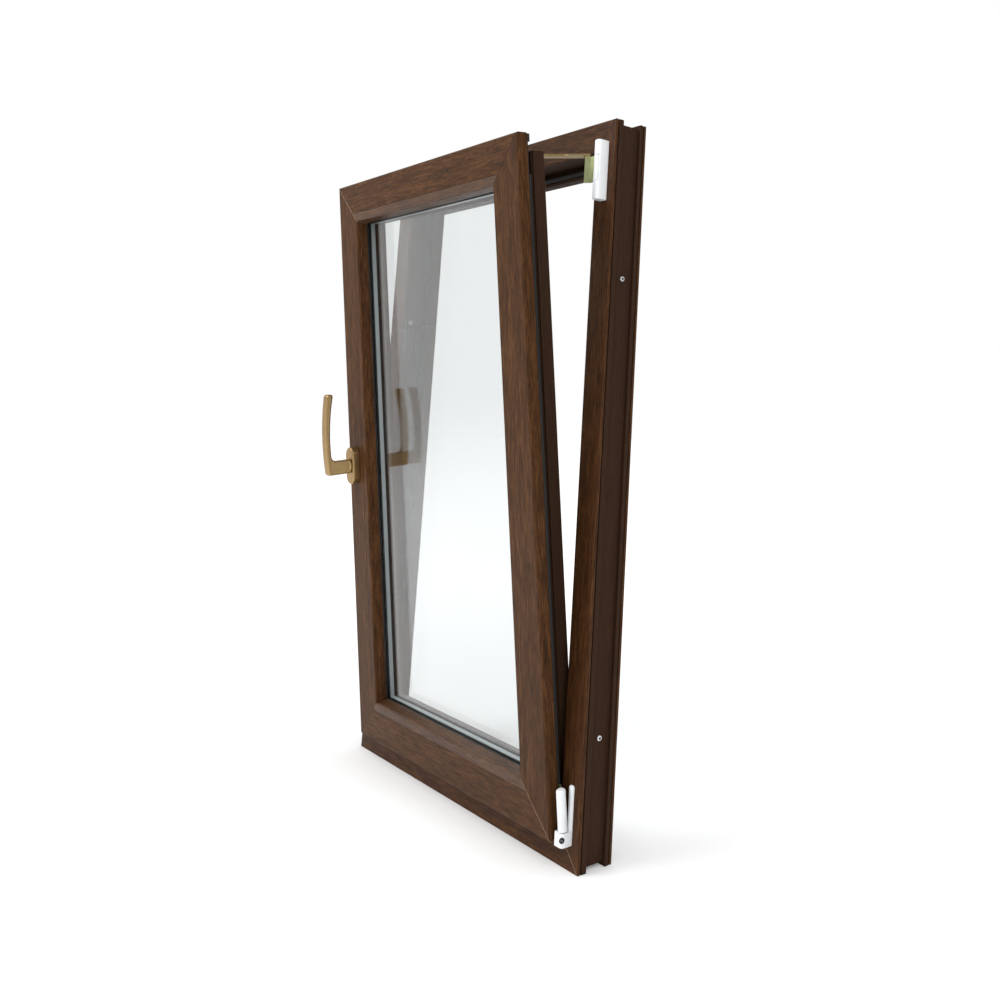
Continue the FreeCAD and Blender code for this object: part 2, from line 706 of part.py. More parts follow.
sash_middle = margin + sash_height / 2
strike_back = d.strike_front + d.strike_width
half_strike = d.strike_length / 2
channel_front = d.strike_front + d.strike_wall
channel_back = strike_back - d.strike_wall
lock_rebate = d.frame_face - half_width
head_rebate = d.frame_height - d.frame_face
cams = []
strikes = []
for spot, sign in {"upper": 1, "lower": -1}.items():
    strike_z = sash_middle + sign * d.strike_spacing / 2
    cams.append(rod(
        f"cam_left_{spot}",
        "x",
        (d.flange_width - sash_right - d.cam_proud, gear_line, strike_z - d.cam_offset),
        d.cam_proud,
        d.cam_radius,
    ))
    strikes.append(strike(
        f"strike_left_{spot}",
        (lock_rebate, d.strike_front, strike_z - half_strike),
        (lock_rebate + d.strike_thick, strike_back, strike_z + half_strike),
        (lock_rebate + d.strike_floor, channel_front, strike_z - half_strike),
        (lock_rebate + d.strike_thick, channel_back, strike_z + half_strike - d.strike_stop),
    ))
cams.append(rod("cam_top", "z", (-d.cam_offset, gear_line, rebate_top), d.cam_proud, d.cam_radius))
cams.append(rod(
    "cam_bottom", "z", (-d.cam_offset, gear_line, low_edge - d.cam_proud), d.cam_proud, d.cam_radius
))
strikes.append(strike(
    "strike_head",
    (-half_strike, d.strike_front, head_rebate - d.strike_thick),
    (half_strike, strike_back, head_rebate),
    (-half_strike, channel_front, head_rebate - d.strike_thick),
    (half_strike - d.strike_stop, channel_back, head_rebate - d.strike_floor),
))
strikes.append(strike(
    "strike_sill",
    (-half_strike, d.strike_front, d.frame_face),
    (half_strike, strike_back, d.frame_face + d.strike_thick),
    (-half_strike, channel_front, d.frame_face + d.strike_floor),
    (half_strike - d.strike_stop, channel_back, d.frame_face + d.strike_thick),
))
finish(fuse("cams", cams), "locking_cams", "sash")
finish(fuse("strikes", strikes), "strike_plates", "frame")

# Drain caps over the slots in the sill's weather face: hoods, open below.
drains = []
drain_front = d.frame_depth + d.drain_proud
drain_top = d.drain_rise + d.drain_height
for sign in (-1, 1):
    middle = sign * d.drain_spacing / 2
    hood = box(
        f"drain_hood{sign + 2}",
        (middle - d.drain_length / 2, d.frame_depth, d.drain_rise),
        (middle + d.drain_length / 2, drain_front, drain_top),
    )
    hood = bevel_off(
        f"drain_bevelled{sign + 2}",
        hood,
        d.drain_bevel,
        lambda point: abs(point.y - drain_front.number) < TOUCH and point.z > drain_top.number - TOUCH,
    )
    inside = box(
        f"drain_inside{sign + 2}",
        (middle - d.drain_length / 2 + d.drain_wall, d.frame_depth, d.drain_rise),
        (
            middle + d.drain_length / 2 - d.drain_wall,
            drain_front - d.drain_wall,
            drain_top - d.drain_wall,
        ),
    )
    drains.append(cut(f"drain{sign + 2}", hood, inside))
finish(fuse("drains", drains), "drain_caps", "frame")


# Upper hinge: a plate with two eyes and a pin on the frame, and white caps over the eyes.
def hinge_leaf(name, low, high, far_edge):
    """A leaf behind the flange, bent forward to the hinge line."""
    bend = sash_right + d.leaf_gap
    return upright(name, [
        (far_edge, leaf_front),
        (bend, leaf_front),
        (hinge_x - d.leaf_root, hinge_y),
        (hinge_x - d.hinge_pin - d.cap_play, hinge_y + d.leaf_thick),
        (bend + d.leaf_thick / 2, -d.leaf_back),
        (far_edge, -d.leaf_back),
    ], low, high)


bearing_plate = box(
    "bearing_plate",
    (hinge_x - d.knuckle_radius, -d.stay_plate, stay_bearing_low + d.cap_wall + d.cap_play),
    (hinge_x + d.knuckle_radius, 0, stay_bearing_top - d.cap_wall - d.cap_play),
)
bearing_pieces = [bearing_plate]
bearing_eyes = {
    "upper": (knuckle_high + d.cap_play, stay_bearing_top - d.cap_wall - d.cap_play),
    "lower": (stay_bearing_low + d.cap_wall + d.cap_play, knuckle_low - d.cap_play),
}
for spot, (low, high) in bearing_eyes.items():
    bearing_pieces.append(rod(
        f"bearing_eye_{spot}", "z", (hinge_x, hinge_y, low), high - low, d.knuckle_radius
    ))
    bearing_pieces.append(box(
        f"bearing_web_{spot}",
        (hinge_x - d.hinge_pin, hinge_y, low),
        (hinge_x + d.hinge_pin, 0, high),
    ))
eye_low = stay_bearing_low + d.cap_wall + d.cap_play
bearing_pieces.append(rod(
    "bearing_pin",
    "z",
    (hinge_x, hinge_y, eye_low),
    d.stay_height - 2 * (d.cap_wall + d.cap_play),
    d.hinge_pin,
))
finish(fuse("bearing", bearing_pieces), "stay_bearing", "frame")


def round_cap(name, low, high, radius):
    """A post with a half-round front that stands on the frame's face."""
    return fuse(name, [
        rod(f"{name}_front", "z", (hinge_x, hinge_y, low), high - low, radius),
        box(f"{name}_back", (hinge_x - radius, hinge_y, low), (hinge_x + radius, 0, high)),
    ])


cap_block = upright("cap_block", [
    (hinge_x - cap_radius, hinge_y - cap_radius, cap_radius),
    (hinge_x + flank_outside, hinge_y - cap_radius, d.flank_round),
    (hinge_x + flank_outside, 0),
    (hinge_x - cap_radius, 0),
], stay_bearing_low, stay_bearing_top)
cap_ends = (stay_bearing_low.number, stay_bearing_top.number)
cap_block = bevel_off(
    "cap_bevelled",
    cap_block,
    d.cap_bevel,
    lambda point: point.y < -TOUCH and min(abs(point.z - end) for end in cap_ends) < TOUCH,
)
window_low = knuckle_low - d.cap_play
window_high = knuckle_high + d.cap_play
cap_reach = 2 * flank_outside
bearing_caps = cut(
    "bearing_caps",
    cap_block,
    round_cap("cap_hollow_upper", window_high, stay_bearing_top - d.cap_wall, cap_inside),
    round_cap("cap_hollow_lower", stay_bearing_low + d.cap_wall, window_low, cap_inside),
    rod("cap_window", "z", (hinge_x, hinge_y, window_low), window_high - window_low, flank_inside),
    box("cap_window_left", (hinge_x - cap_reach, hinge_y - cap_reach, window_low), (hinge_x, 0, window_high)),
    box(
        "cap_window_front",
        (hinge_x, hinge_y - cap_reach, window_low),
        (hinge_x + cap_reach, hinge_y - d.flank_depth, window_high),
    ),
    box("cap_window_back", (hinge_x, hinge_y, window_low), (hinge_x + flank_inside, 0, window_high)),
)
finish(bearing_caps, "stay_bearing_caps", "frame")

# Stay arm: a knuckle on the bearing's pin, a leaf round the flange, and a flat bar over the sash
# with a stiffener riveted on top.
arm_knuckle = rod("arm_knuckle", "z", (hinge_x, hinge_y, knuckle_low), d.stay_knuckle, d.knuckle_radius)
arm_edge = half_width - d.frame_face - d.arm_inset
leaf_far = sash_right - d.flange_overlap
half_arm = d.stay_width / 2
slide_x = hinge_x - d.stay_length
slide_low = rebate_top - d.slide_reach
turn_left = rebate_right - d.stay_width
arm_front = gear_line - half_arm
arm_back = gear_line + half_arm
arm_bar = upright("arm_bar", [
    (slide_x - half_arm, arm_front, half_arm - d.cap_play),
    (turn_left - half_arm, arm_front),
    (turn_left, leaf_front),
    (sash_right, leaf_front),
    (sash_right, -d.leaf_back),
    (arm_edge, -d.leaf_back),
    (arm_edge, arm_back, half_arm),
    (slide_x - half_arm, arm_back, half_arm - d.cap_play),
], stay_low, stay_high)
stiffener_left = arm_edge - d.stiffener_length
stiffener = upright("stiffener", [
    (stiffener_left, arm_front + d.leaf_thick, half_arm / 2),
    (arm_edge - d.leaf_thick, arm_front + d.leaf_thick),
    (arm_edge - d.leaf_thick, arm_back - d.leaf_thick, half_arm / 2),
    (stiffener_left, arm_back - d.leaf_thick, half_arm / 2),
], stay_high, stay_high + d.stiffener_thick)
arm_solid = fuse("arm_solid", [
    arm_knuckle,
    hinge_leaf("arm_leaf", knuckle_low, knuckle_high, leaf_far),
    box("arm_post", (leaf_far, leaf_front, knuckle_low), (sash_right, -d.leaf_back, stay_high)),
    arm_bar,
    stiffener,
    rod("arm_slide", "z", (slide_x, gear_line, slide_low), stay_low - slide_low, d.slide_pin),
])
arm_bore = rod(
    "arm_bore", "z", (hinge_x, hinge_y, knuckle_low), d.stay_knuckle, d.hinge_pin + d.pin_play
)
link_hole = rod(
    "link_hole", "z", (link_rivet_x, gear_line, stay_low), d.stay_thick, d.rivet_radius + d.pin_play
)
finish(cut("arm", arm_solid, arm_bore, link_hole), "stay_arm", "stay")

knuckle_tube = rod("knuckle_tube", "z", (hinge_x, hinge_y, knuckle_low), d.stay_knuckle, cap_radius)
knuckle_hole = rod("knuckle_hole", "z", (hinge_x, hinge_y, knuckle_low), d.stay_knuckle, cap_inside)
knuckle_slot = box(
    "knuckle_slot",
    (hinge_x - 2 * cap_radius, hinge_y - d.cap_play, knuckle_low),
    (hinge_x, 0, knuckle_high),
)
finish(cut("knuckle_cap", knuckle_tube, knuckle_hole, knuckle_slot), "stay_knuckle_cover", "stay")

# Stay link: riveted under the arm, with its own pin in the gear groove.
link_top = stay_low - d.cap_play
link_low = link_top - d.link_thick
link_end_x = link_rivet_x + d.link_length
link_solid = fuse("link", [
    box(
        "link_bar",
        (link_rivet_x, gear_line - d.link_width / 2, link_low),
        (link_end_x, gear_line + d.link_width / 2, link_top),
    ),
    rod("link_round", "z", (link_rivet_x, gear_line, link_low), d.link_thick, d.link_width / 2),
    rod("link_round_end", "z", (link_end_x, gear_line, link_low), d.link_thick, d.link_width / 2),
    rod(
        "link_rivet",
        "z",
        (link_rivet_x, gear_line, link_low),
        stay_high - link_low + d.cap_play,
        d.rivet_radius,
    ),
    rod("link_slide", "z", (link_end_x, gear_line, slide_low), link_low - slide_low, d.slide_pin),
])
finish(link_solid, "stay_link", "link")

# Lower hinge: a base with a bore on the frame, and a half-round upright beside the hinge line.
upright_x = hinge_x + d.upright_offset
upright_high = base_top + d.upright_height
upright_inside = d.upright_radius - d.cap_wall


def half_post(name, radius, high):
    """A rounded post on the frame's face, standing on the base."""
    post = rod(f"{name}_round", "z", (upright_x, d.upright_sink, base_top), high - base_top, radius)
    behind = box(
        f"{name}_behind",
        (upright_x - radius, 0, base_top),
        (upright_x + radius, d.upright_sink + radius, high),
    )
    return cut(name, post, behind)


base_block = upright("base_block", [
    (hinge_x - d.base_lock_side, -d.base_depth, d.base_corner),
    (hinge_x + d.base_hinge_side, -d.base_depth, d.base_round),
    (hinge_x + d.base_hinge_side, 0),
    (hinge_x - d.base_lock_side, 0),
], base_low, base_top)
base_block = bevel_off(
    "base_bevelled",
    base_block,
    d.cap_bevel,
    lambda point: point.y < -TOUCH and point.z < base_low.number + TOUCH,
)
base = fuse("base_blank", [
    base_block,
    half_post("base_tongue", upright_inside - d.cap_play, upright_high - d.cap_wall - d.cap_play),
])
socket = rod(
    "base_socket",
    "z",
    (hinge_x, hinge_y, base_top - d.socket_depth),
    d.socket_depth,
    d.hinge_pin + d.pin_play,
)
finish(cut("base", base, socket), "pivot_bearing", "frame")
upright_cover = bevel_off(
    "upright_cover_bevelled",
    half_post("upright_cover", d.upright_radius, upright_high),
    d.cap_slope,
    lambda point: point.y < -TOUCH and point.z > upright_high.number - TOUCH,
)
upright_hollow = rod(
    "upright_hollow",
    "z",
    (upright_x, d.upright_sink, base_top),
    d.upright_height - d.cap_wall,
    upright_inside,
)
finish(cut("cover", upright_cover, upright_hollow), "pivot_bearing_cover", "frame")

# Pivot post: turns in the base's bore and carries the tilt pin across the hinge line.
post_low = base_top - d.socket_depth + d.cap_play
post_high = base_top + d.cap_play
post = fuse("post", [
    rod("post_pin", "z", (hinge_x, hinge_y, post_low), post_high - post_low, d.hinge_pin),
    box(
        "post_neck",
        (hinge_x - d.eye_width / 2, hinge_y - d.tilt_pin, post_low),
        (hinge_x + d.eye_width / 2, hinge_y + d.tilt_pin, d.tilt_rise),
    ),
    rod("post_eye", "x", (hinge_x - d.eye_width / 2, hinge_y, d.tilt_rise), d.eye_width, d.eye_radius),
    rod(
        "post_tilt_pin",
        "x",
        (hinge_x - d.eye_width / 2 - d.fork_wall - d.cap_play, hinge_y, d.tilt_rise),
        d.eye_width + 2 * (d.fork_wall + d.cap_play),
        d.tilt_pin,
    ),
])
finish(post, "pivot_post", "pivot")

# Corner hinge: a fork on the tilt pin, a barrel above it and a leaf behind the sash's flange.
fork_gap = d.eye_width / 2 + d.cap_play
fork_pieces = []
for side in (-1, 1):
    inner = hinge_x + side * fork_gap
    outer = inner + side * d.fork_wall
    low_x, high_x = (outer, inner) if side < 0 else (inner, outer)
    fork_pieces.append(rod(
        f"fork_ear{side + 2}", "x", (low_x, hinge_y, d.tilt_rise), d.fork_wall, d.eye_radius
    ))
    fork_pieces.append(box(
        f"fork_arm{side + 2}",
        (low_x, hinge_y - d.eye_radius, d.tilt_rise),
        (high_x, hinge_y + d.eye_radius, barrel_low + d.fork_wall),
    ))
barrel = rod("barrel", "z", (hinge_x, hinge_y, barrel_low), d.hinge_height, d.knuckle_radius)
leaf_low = barrel_low + d.fork_wall
corner_leaf = hinge_leaf("corner_leaf", leaf_low, barrel_high, rebate_right + d.cap_play)
fork_bore = rod(
    "fork_bore", "x", (hinge_x - cap_radius, hinge_y, d.tilt_rise), 2 * cap_radius, d.tilt_pin + d.pin_play
)
corner_solid = fuse("corner_solid", fork_pieces + [barrel, corner_leaf])
finish(cut("corner", corner_solid, fork_bore), "corner_hinge", "sash")

cover_low = base_top + d.skirt_gap
cover_high = barrel_high + d.cap_wall
cover_outer = bevel_off(
    "barrel_cover_bevelled",
    rod("barrel_cover_outer", "z", (hinge_x, hinge_y, cover_low), cover_high - cover_low, cap_radius),
    d.cap_slope,
    lambda point: point.z > cover_high.number - TOUCH,
)
cover_inner = rod(
    "barrel_cover_inner", "z", (hinge_x, hinge_y, cover_low), barrel_high - cover_low, cap_inside
)
cover_slot = box(
    "barrel_cover_slot",
    (hinge_x - 2 * cap_radius, hinge_y - d.cap_play, leaf_low - d.cap_play),
    (hinge_x, 0, barrel_high),
)
finish(cut("barrel_cover", cover_outer, cover_inner, cover_slot), "corner_hinge_cover", "sash")


# Handle: an oval rosette on the stile, and a bowed lever that turns in it.
def plane_of(body, role):
    return next(feature for feature in body.Origin.OriginFeatures if feature.Role == role)


def body_sketch(body, name, role, offset=0):
    """A sketch on one of the body's own planes, moved along the plane's normal."""
    sketch = body.newObject("Sketcher::SketchObject", name)
    sketch.AttachmentSupport = [(plane_of(body, role), "")]
    sketch.MapMode = "FlatFace"
    bind(sketch, "AttachmentOffset.Base.z", offset)
    return sketch


def draw_circle(sketch, across, up, radius):
    centre = FreeCAD.Vector(across.number, up.number, 0)
    circle = sketch.addGeometry(Part.Circle(centre, FreeCAD.Vector(0, 0, 1), radius.number), False)
    for kind, value in (("DistanceX", across), ("DistanceY", up)):
        place = sketch.addConstraint(Sketcher.Constraint(kind, -1, 1, circle, 3, value.number))
        bind(sketch, f"Constraints[{place}]", value)
    place = sketch.addConstraint(Sketcher.Constraint("Radius", circle, radius.number))
    bind(sketch, f"Constraints[{place}]", radius)


def pad(body, name, sketch, length, side="One side"):
    feature = body.newObject("PartDesign::Pad", name)
    feature.Profile = sketch
    feature.SideType = side
    bind(feature, "Length", length)
    return feature


def bevel_edges(body, name, feature, size, wanted):
    """Bevels the edges of a body's last feature whose middle lies where wanted says."""
    doc.recompute()
    bevelled = body.newObject("PartDesign::Chamfer", name)
    bevelled.Base = (feature, [
        f"Edge{index}"
        for index, edge in enumerate(feature.Shape.Edges, start=1)
        if wanted(edge.CenterOfMass)
    ])
    bind(bevelled, "Size", size)


handle_x = d.sash_face / 2 - sash_right
handle_z = margin + d.handle_rise
rosette_front = -face_gap - d.rosette_thick

rosette = doc.addObject("PartDesign::Body", "rosette")
rosette_plan = body_sketch(rosette, "rosette_plan", "XZ_Plane", face_gap)
half_rosette = d.rosette_width / 2
draw_outline(rosette_plan, [
    (handle_x - half_rosette, handle_z - d.rosette_height / 2, d.rosette_corner),
    (handle_x + half_rosette, handle_z - d.rosette_height / 2, d.rosette_corner),
    (handle_x + half_rosette, handle_z + d.rosette_height / 2, d.rosette_corner),
    (handle_x - half_rosette, handle_z + d.rosette_height / 2, d.rosette_corner),
])
rosette_pad = pad(rosette, "rosette_pad", rosette_plan, d.rosette_thick)
bevel_edges(
    rosette,
    "rosette_rim",
    rosette_pad,
    d.rosette_bevel,
    lambda point: point.y < rosette_front.number + TOUCH,
)
rosette_hole = body_sketch(rosette, "rosette_hole", "XZ_Plane", -rosette_front)
draw_circle(rosette_hole, handle_x, handle_z, d.spindle_radius + d.pin_play)
rosette_bore = rosette.newObject("PartDesign::Pocket", "rosette_bore")
rosette_bore.Profile = rosette_hole
bind(rosette_bore, "Length", d.spindle_depth + d.cap_play)
finish(rosette, "handle_rosette", "sash")


def draw_lever(sketch):
    """Side view of neck and grip: two bowed lines, joined smoothly at heel, tip and crook."""
    neck_end = rosette_front - d.cap_play
    neck_low = handle_z - d.neck_height / 2
    neck_high = handle_z + d.neck_height / 2
    tip = handle_z + d.grip_length
    waist = handle_z + d.grip_waist
    outer = -face_gap - d.grip_reach
    inner = outer + d.grip_thick
    outer_centre = outer + d.grip_bow
    inner_centre = inner + d.grip_hollow

    def on_bow(centre, radius, height):
        """Where a bowed line stands at a height."""
        return centre.number - math.sqrt(radius.number ** 2 - (height - waist.number) ** 2)

    def arc(start, middle, end):
        points = [FreeCAD.Vector(across, up, 0) for across, up in (start, middle, end)]
        return sketch.addGeometry(Part.Arc(*points), False)

    def line(start, end):
        points = [FreeCAD.Vector(across, up, 0) for across, up in (start, end)]
        return sketch.addGeometry(Part.LineSegment(*points), False)

    corner = d.grip_corner.number
    crook = d.grip_crook.number
    slack = 1 - math.sqrt(0.5)
    corner_slack = slack * corner
    crook_slack = slack * crook
    heel_y = on_bow(outer_centre, d.grip_bow, neck_low.number + corner)
    tip_out = on_bow(outer_centre, d.grip_bow, tip.number - corner)
    tip_in = on_bow(inner_centre, d.grip_hollow, tip.number - corner)
    crook_y = on_bow(inner_centre, d.grip_hollow, neck_high.number + crook)
    low, high, top = neck_low.number, neck_high.number, tip.number
    chain = [
        line((heel_y + corner, low), (neck_end.number, low)),
        line((neck_end.number, low), (neck_end.number, high)),
        line((neck_end.number, high), (crook_y + crook, high)),
        arc((crook_y + crook, high), (crook_y + crook_slack, high + crook_slack), (crook_y, high + crook)),
        arc((crook_y, high + crook), (inner.number, waist.number), (tip_in, top - corner)),
        arc((tip_in, top - corner), (tip_in - corner_slack, top - corner_slack), (tip_in - corner, top)),
        line((tip_in - corner, top), (tip_out + corner, top)),
        arc((tip_out + corner, top), (tip_out + corner_slack, top - corner_slack), (tip_out, top - corner)),
        arc((tip_out, top - corner), (outer.number, waist.number), (heel_y, low + corner)),
        arc((heel_y, low + corner), (heel_y + corner_slack, low + corner_slack), (heel_y + corner, low)),
    ]
    neck_under, neck_face, neck_over, crook_arc, hollow, tip_inner, tip_flat, tip_outer, bow, heel = chain
    for here, following in zip(chain, chain[1:] + chain[:1]):
        kind = "Coincident" if neck_face in (here, following) else "Tangent"
        end = 1 if here in (crook_arc, hollow) else 2
        start = 2 if following in (crook_arc, hollow) else 1
        sketch.addConstraint(Sketcher.Constraint(kind, here, end, following, start))
    for level in (neck_under, neck_over, tip_flat):
        sketch.addConstraint(Sketcher.Constraint("Horizontal", level))
    sketch.addConstraint(Sketcher.Constraint("Vertical", neck_face))
    for kind, geometry, spot, value in (
        ("DistanceX", neck_face, 1, neck_end),
        ("DistanceY", neck_face, 1, neck_low),
        ("DistanceY", neck_face, 2, neck_high),
        ("DistanceY", tip_flat, 1, tip),
        ("DistanceX", bow, 3, outer_centre),
        ("DistanceY", bow, 3, waist),
        ("DistanceX", hollow, 3, inner_centre),
        ("DistanceY", hollow, 3, waist),
    ):
        place = sketch.addConstraint(Sketcher.Constraint(kind, -1, 1, geometry, spot, value.number))
        bind(sketch, f"Constraints[{place}]", value)
    for geometry, radius in (
        (crook_arc, d.grip_crook),
        (hollow, d.grip_hollow),
        (tip_inner, d.grip_corner),
        (tip_outer, d.grip_corner),
        (bow, d.grip_bow),
        (heel, d.grip_corner),
    ):
        place = sketch.addConstraint(Sketcher.Constraint("Radius", geometry, radius.number))
        bind(sketch, f"Constraints[{place}]", radius)


lever = doc.addObject("PartDesign::Body", "lever")
lever_side = body_sketch(lever, "lever_side", "YZ_Plane", handle_x)
draw_lever(lever_side)
lever_pad = pad(lever, "lever_pad", lever_side, d.grip_width, "Symmetric")
lever_sides = [(handle_x + side * d.grip_width / 2).number for side in (-1, 1)]
neck_end_y = (rosette_front - d.cap_play).number
bevel_edges(
    lever,
    "lever_edges",
    lever_pad,
    d.grip_bevel,
    lambda point: point.y < neck_end_y - TOUCH and min(abs(point.x - side) for side in lever_sides) < TOUCH,
)
collar_plan = body_sketch(lever, "collar_plan", "XZ_Plane", -rosette_front + d.cap_play)
draw_circle(collar_plan, handle_x, handle_z, d.collar_radius)
pad(lever, "collar", collar_plan, d.collar_thick)
spindle_plan = body_sketch(lever, "spindle_plan", "XZ_Plane", -rosette_front - d.spindle_depth)
draw_circle(spindle_plan, handle_x, handle_z, d.spindle_radius)
pad(lever, "spindle", spindle_plan, d.spindle_depth + d.cap_play)
finish(lever, "handle_lever", "handle")

doc.recompute()
for thing in doc.Objects:
    if {"Invalid", "Error"} & set(thing.State):
        raise RuntimeError(f"{thing.Name} did not build: {thing.State}")
for piece in subparts:
    if piece.Shape.isNull() or not piece.Shape.isValid():
        raise RuntimeError(f"{piece.Label} is not a sound solid")

os.makedirs("parts", exist_ok=True)
for piece in subparts:
    piece.Shape.exportStep(f"parts/{piece.Label}.step")
print(f"stay swing {stay_swing:.4f} deg, link swing {link_open + stay_swing:.4f} deg")
print(f"{len(subparts)} sub-parts written")
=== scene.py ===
import json
import math

import bpy
from mathutils import Matrix, Vector


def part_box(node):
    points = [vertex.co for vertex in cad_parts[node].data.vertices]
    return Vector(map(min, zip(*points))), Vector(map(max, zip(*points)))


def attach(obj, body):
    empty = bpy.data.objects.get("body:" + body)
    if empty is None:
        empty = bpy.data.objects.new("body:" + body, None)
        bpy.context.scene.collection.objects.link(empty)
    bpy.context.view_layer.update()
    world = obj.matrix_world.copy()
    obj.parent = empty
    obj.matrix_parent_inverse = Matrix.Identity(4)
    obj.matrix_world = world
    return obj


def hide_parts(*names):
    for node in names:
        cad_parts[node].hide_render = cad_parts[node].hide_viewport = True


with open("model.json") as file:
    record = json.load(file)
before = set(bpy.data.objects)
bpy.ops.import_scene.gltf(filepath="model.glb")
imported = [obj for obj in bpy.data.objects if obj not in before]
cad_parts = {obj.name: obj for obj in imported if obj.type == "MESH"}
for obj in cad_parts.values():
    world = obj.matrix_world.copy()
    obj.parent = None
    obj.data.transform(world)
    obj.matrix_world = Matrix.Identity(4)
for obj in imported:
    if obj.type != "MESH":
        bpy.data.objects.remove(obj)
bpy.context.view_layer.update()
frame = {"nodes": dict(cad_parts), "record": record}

# Fixed frame: four bars of hollow plastic profile, welded at the mitres and wrapped in walnut-look foil.
# The foil is printed and embossed along each bar. It stops in the clip channel outside and in the rebate
# inside, where the plain brown plastic shows.


def linear(code):
    """A colour such as 6b4a35, written in sRGB, as the linear value that a shader takes."""
    parts = [int(code[at:at + 2], 16) / 255 for at in (0, 2, 4)]
    return [p / 12.92 if p <= 0.04045 else ((p + 0.055) / 1.055) ** 2.4 for p in parts] + [1.0]


def add(tree, kind, inputs=None, **settings):
    """Adds a node, sets it up and links or fills its inputs.

    A Mix node's inputs go by number: 0 is the share, 2 and 3 are numbers, 6 and 7 are colours.
    """
    made = tree.nodes.new(kind)
    for name, value in settings.items():
        setattr(made, name, value)
    for name, value in (inputs or {}).items():
        if isinstance(value, bpy.types.NodeSocket):
            tree.links.new(value, made.inputs[name])
        else:
            made.inputs[name].default_value = value
    return made


def new_finish(name):
    """An empty node material."""
    finish = bpy.data.materials.new(name)
    finish.use_nodes = True
    finish.node_tree.nodes.clear()
    return finish


def dress(finish, *names):
    """Gives CAD nodes a finish."""
    for name in names:
        slots = frame["nodes"][name].data.materials
        slots.clear()
        slots.append(finish)


def shut_place(tree, stand):
    """Where a point lies while the window is shut, so that a finish follows its bar."""
    shut = stand.inverted()
    spot = add(tree, "ShaderNodeTexCoord").outputs["Object"]
    return add(tree, "ShaderNodeMapping", {
        "Vector": spot, "Rotation": shut.to_euler(), "Location": shut.to_translation(),
    }).outputs["Vector"]


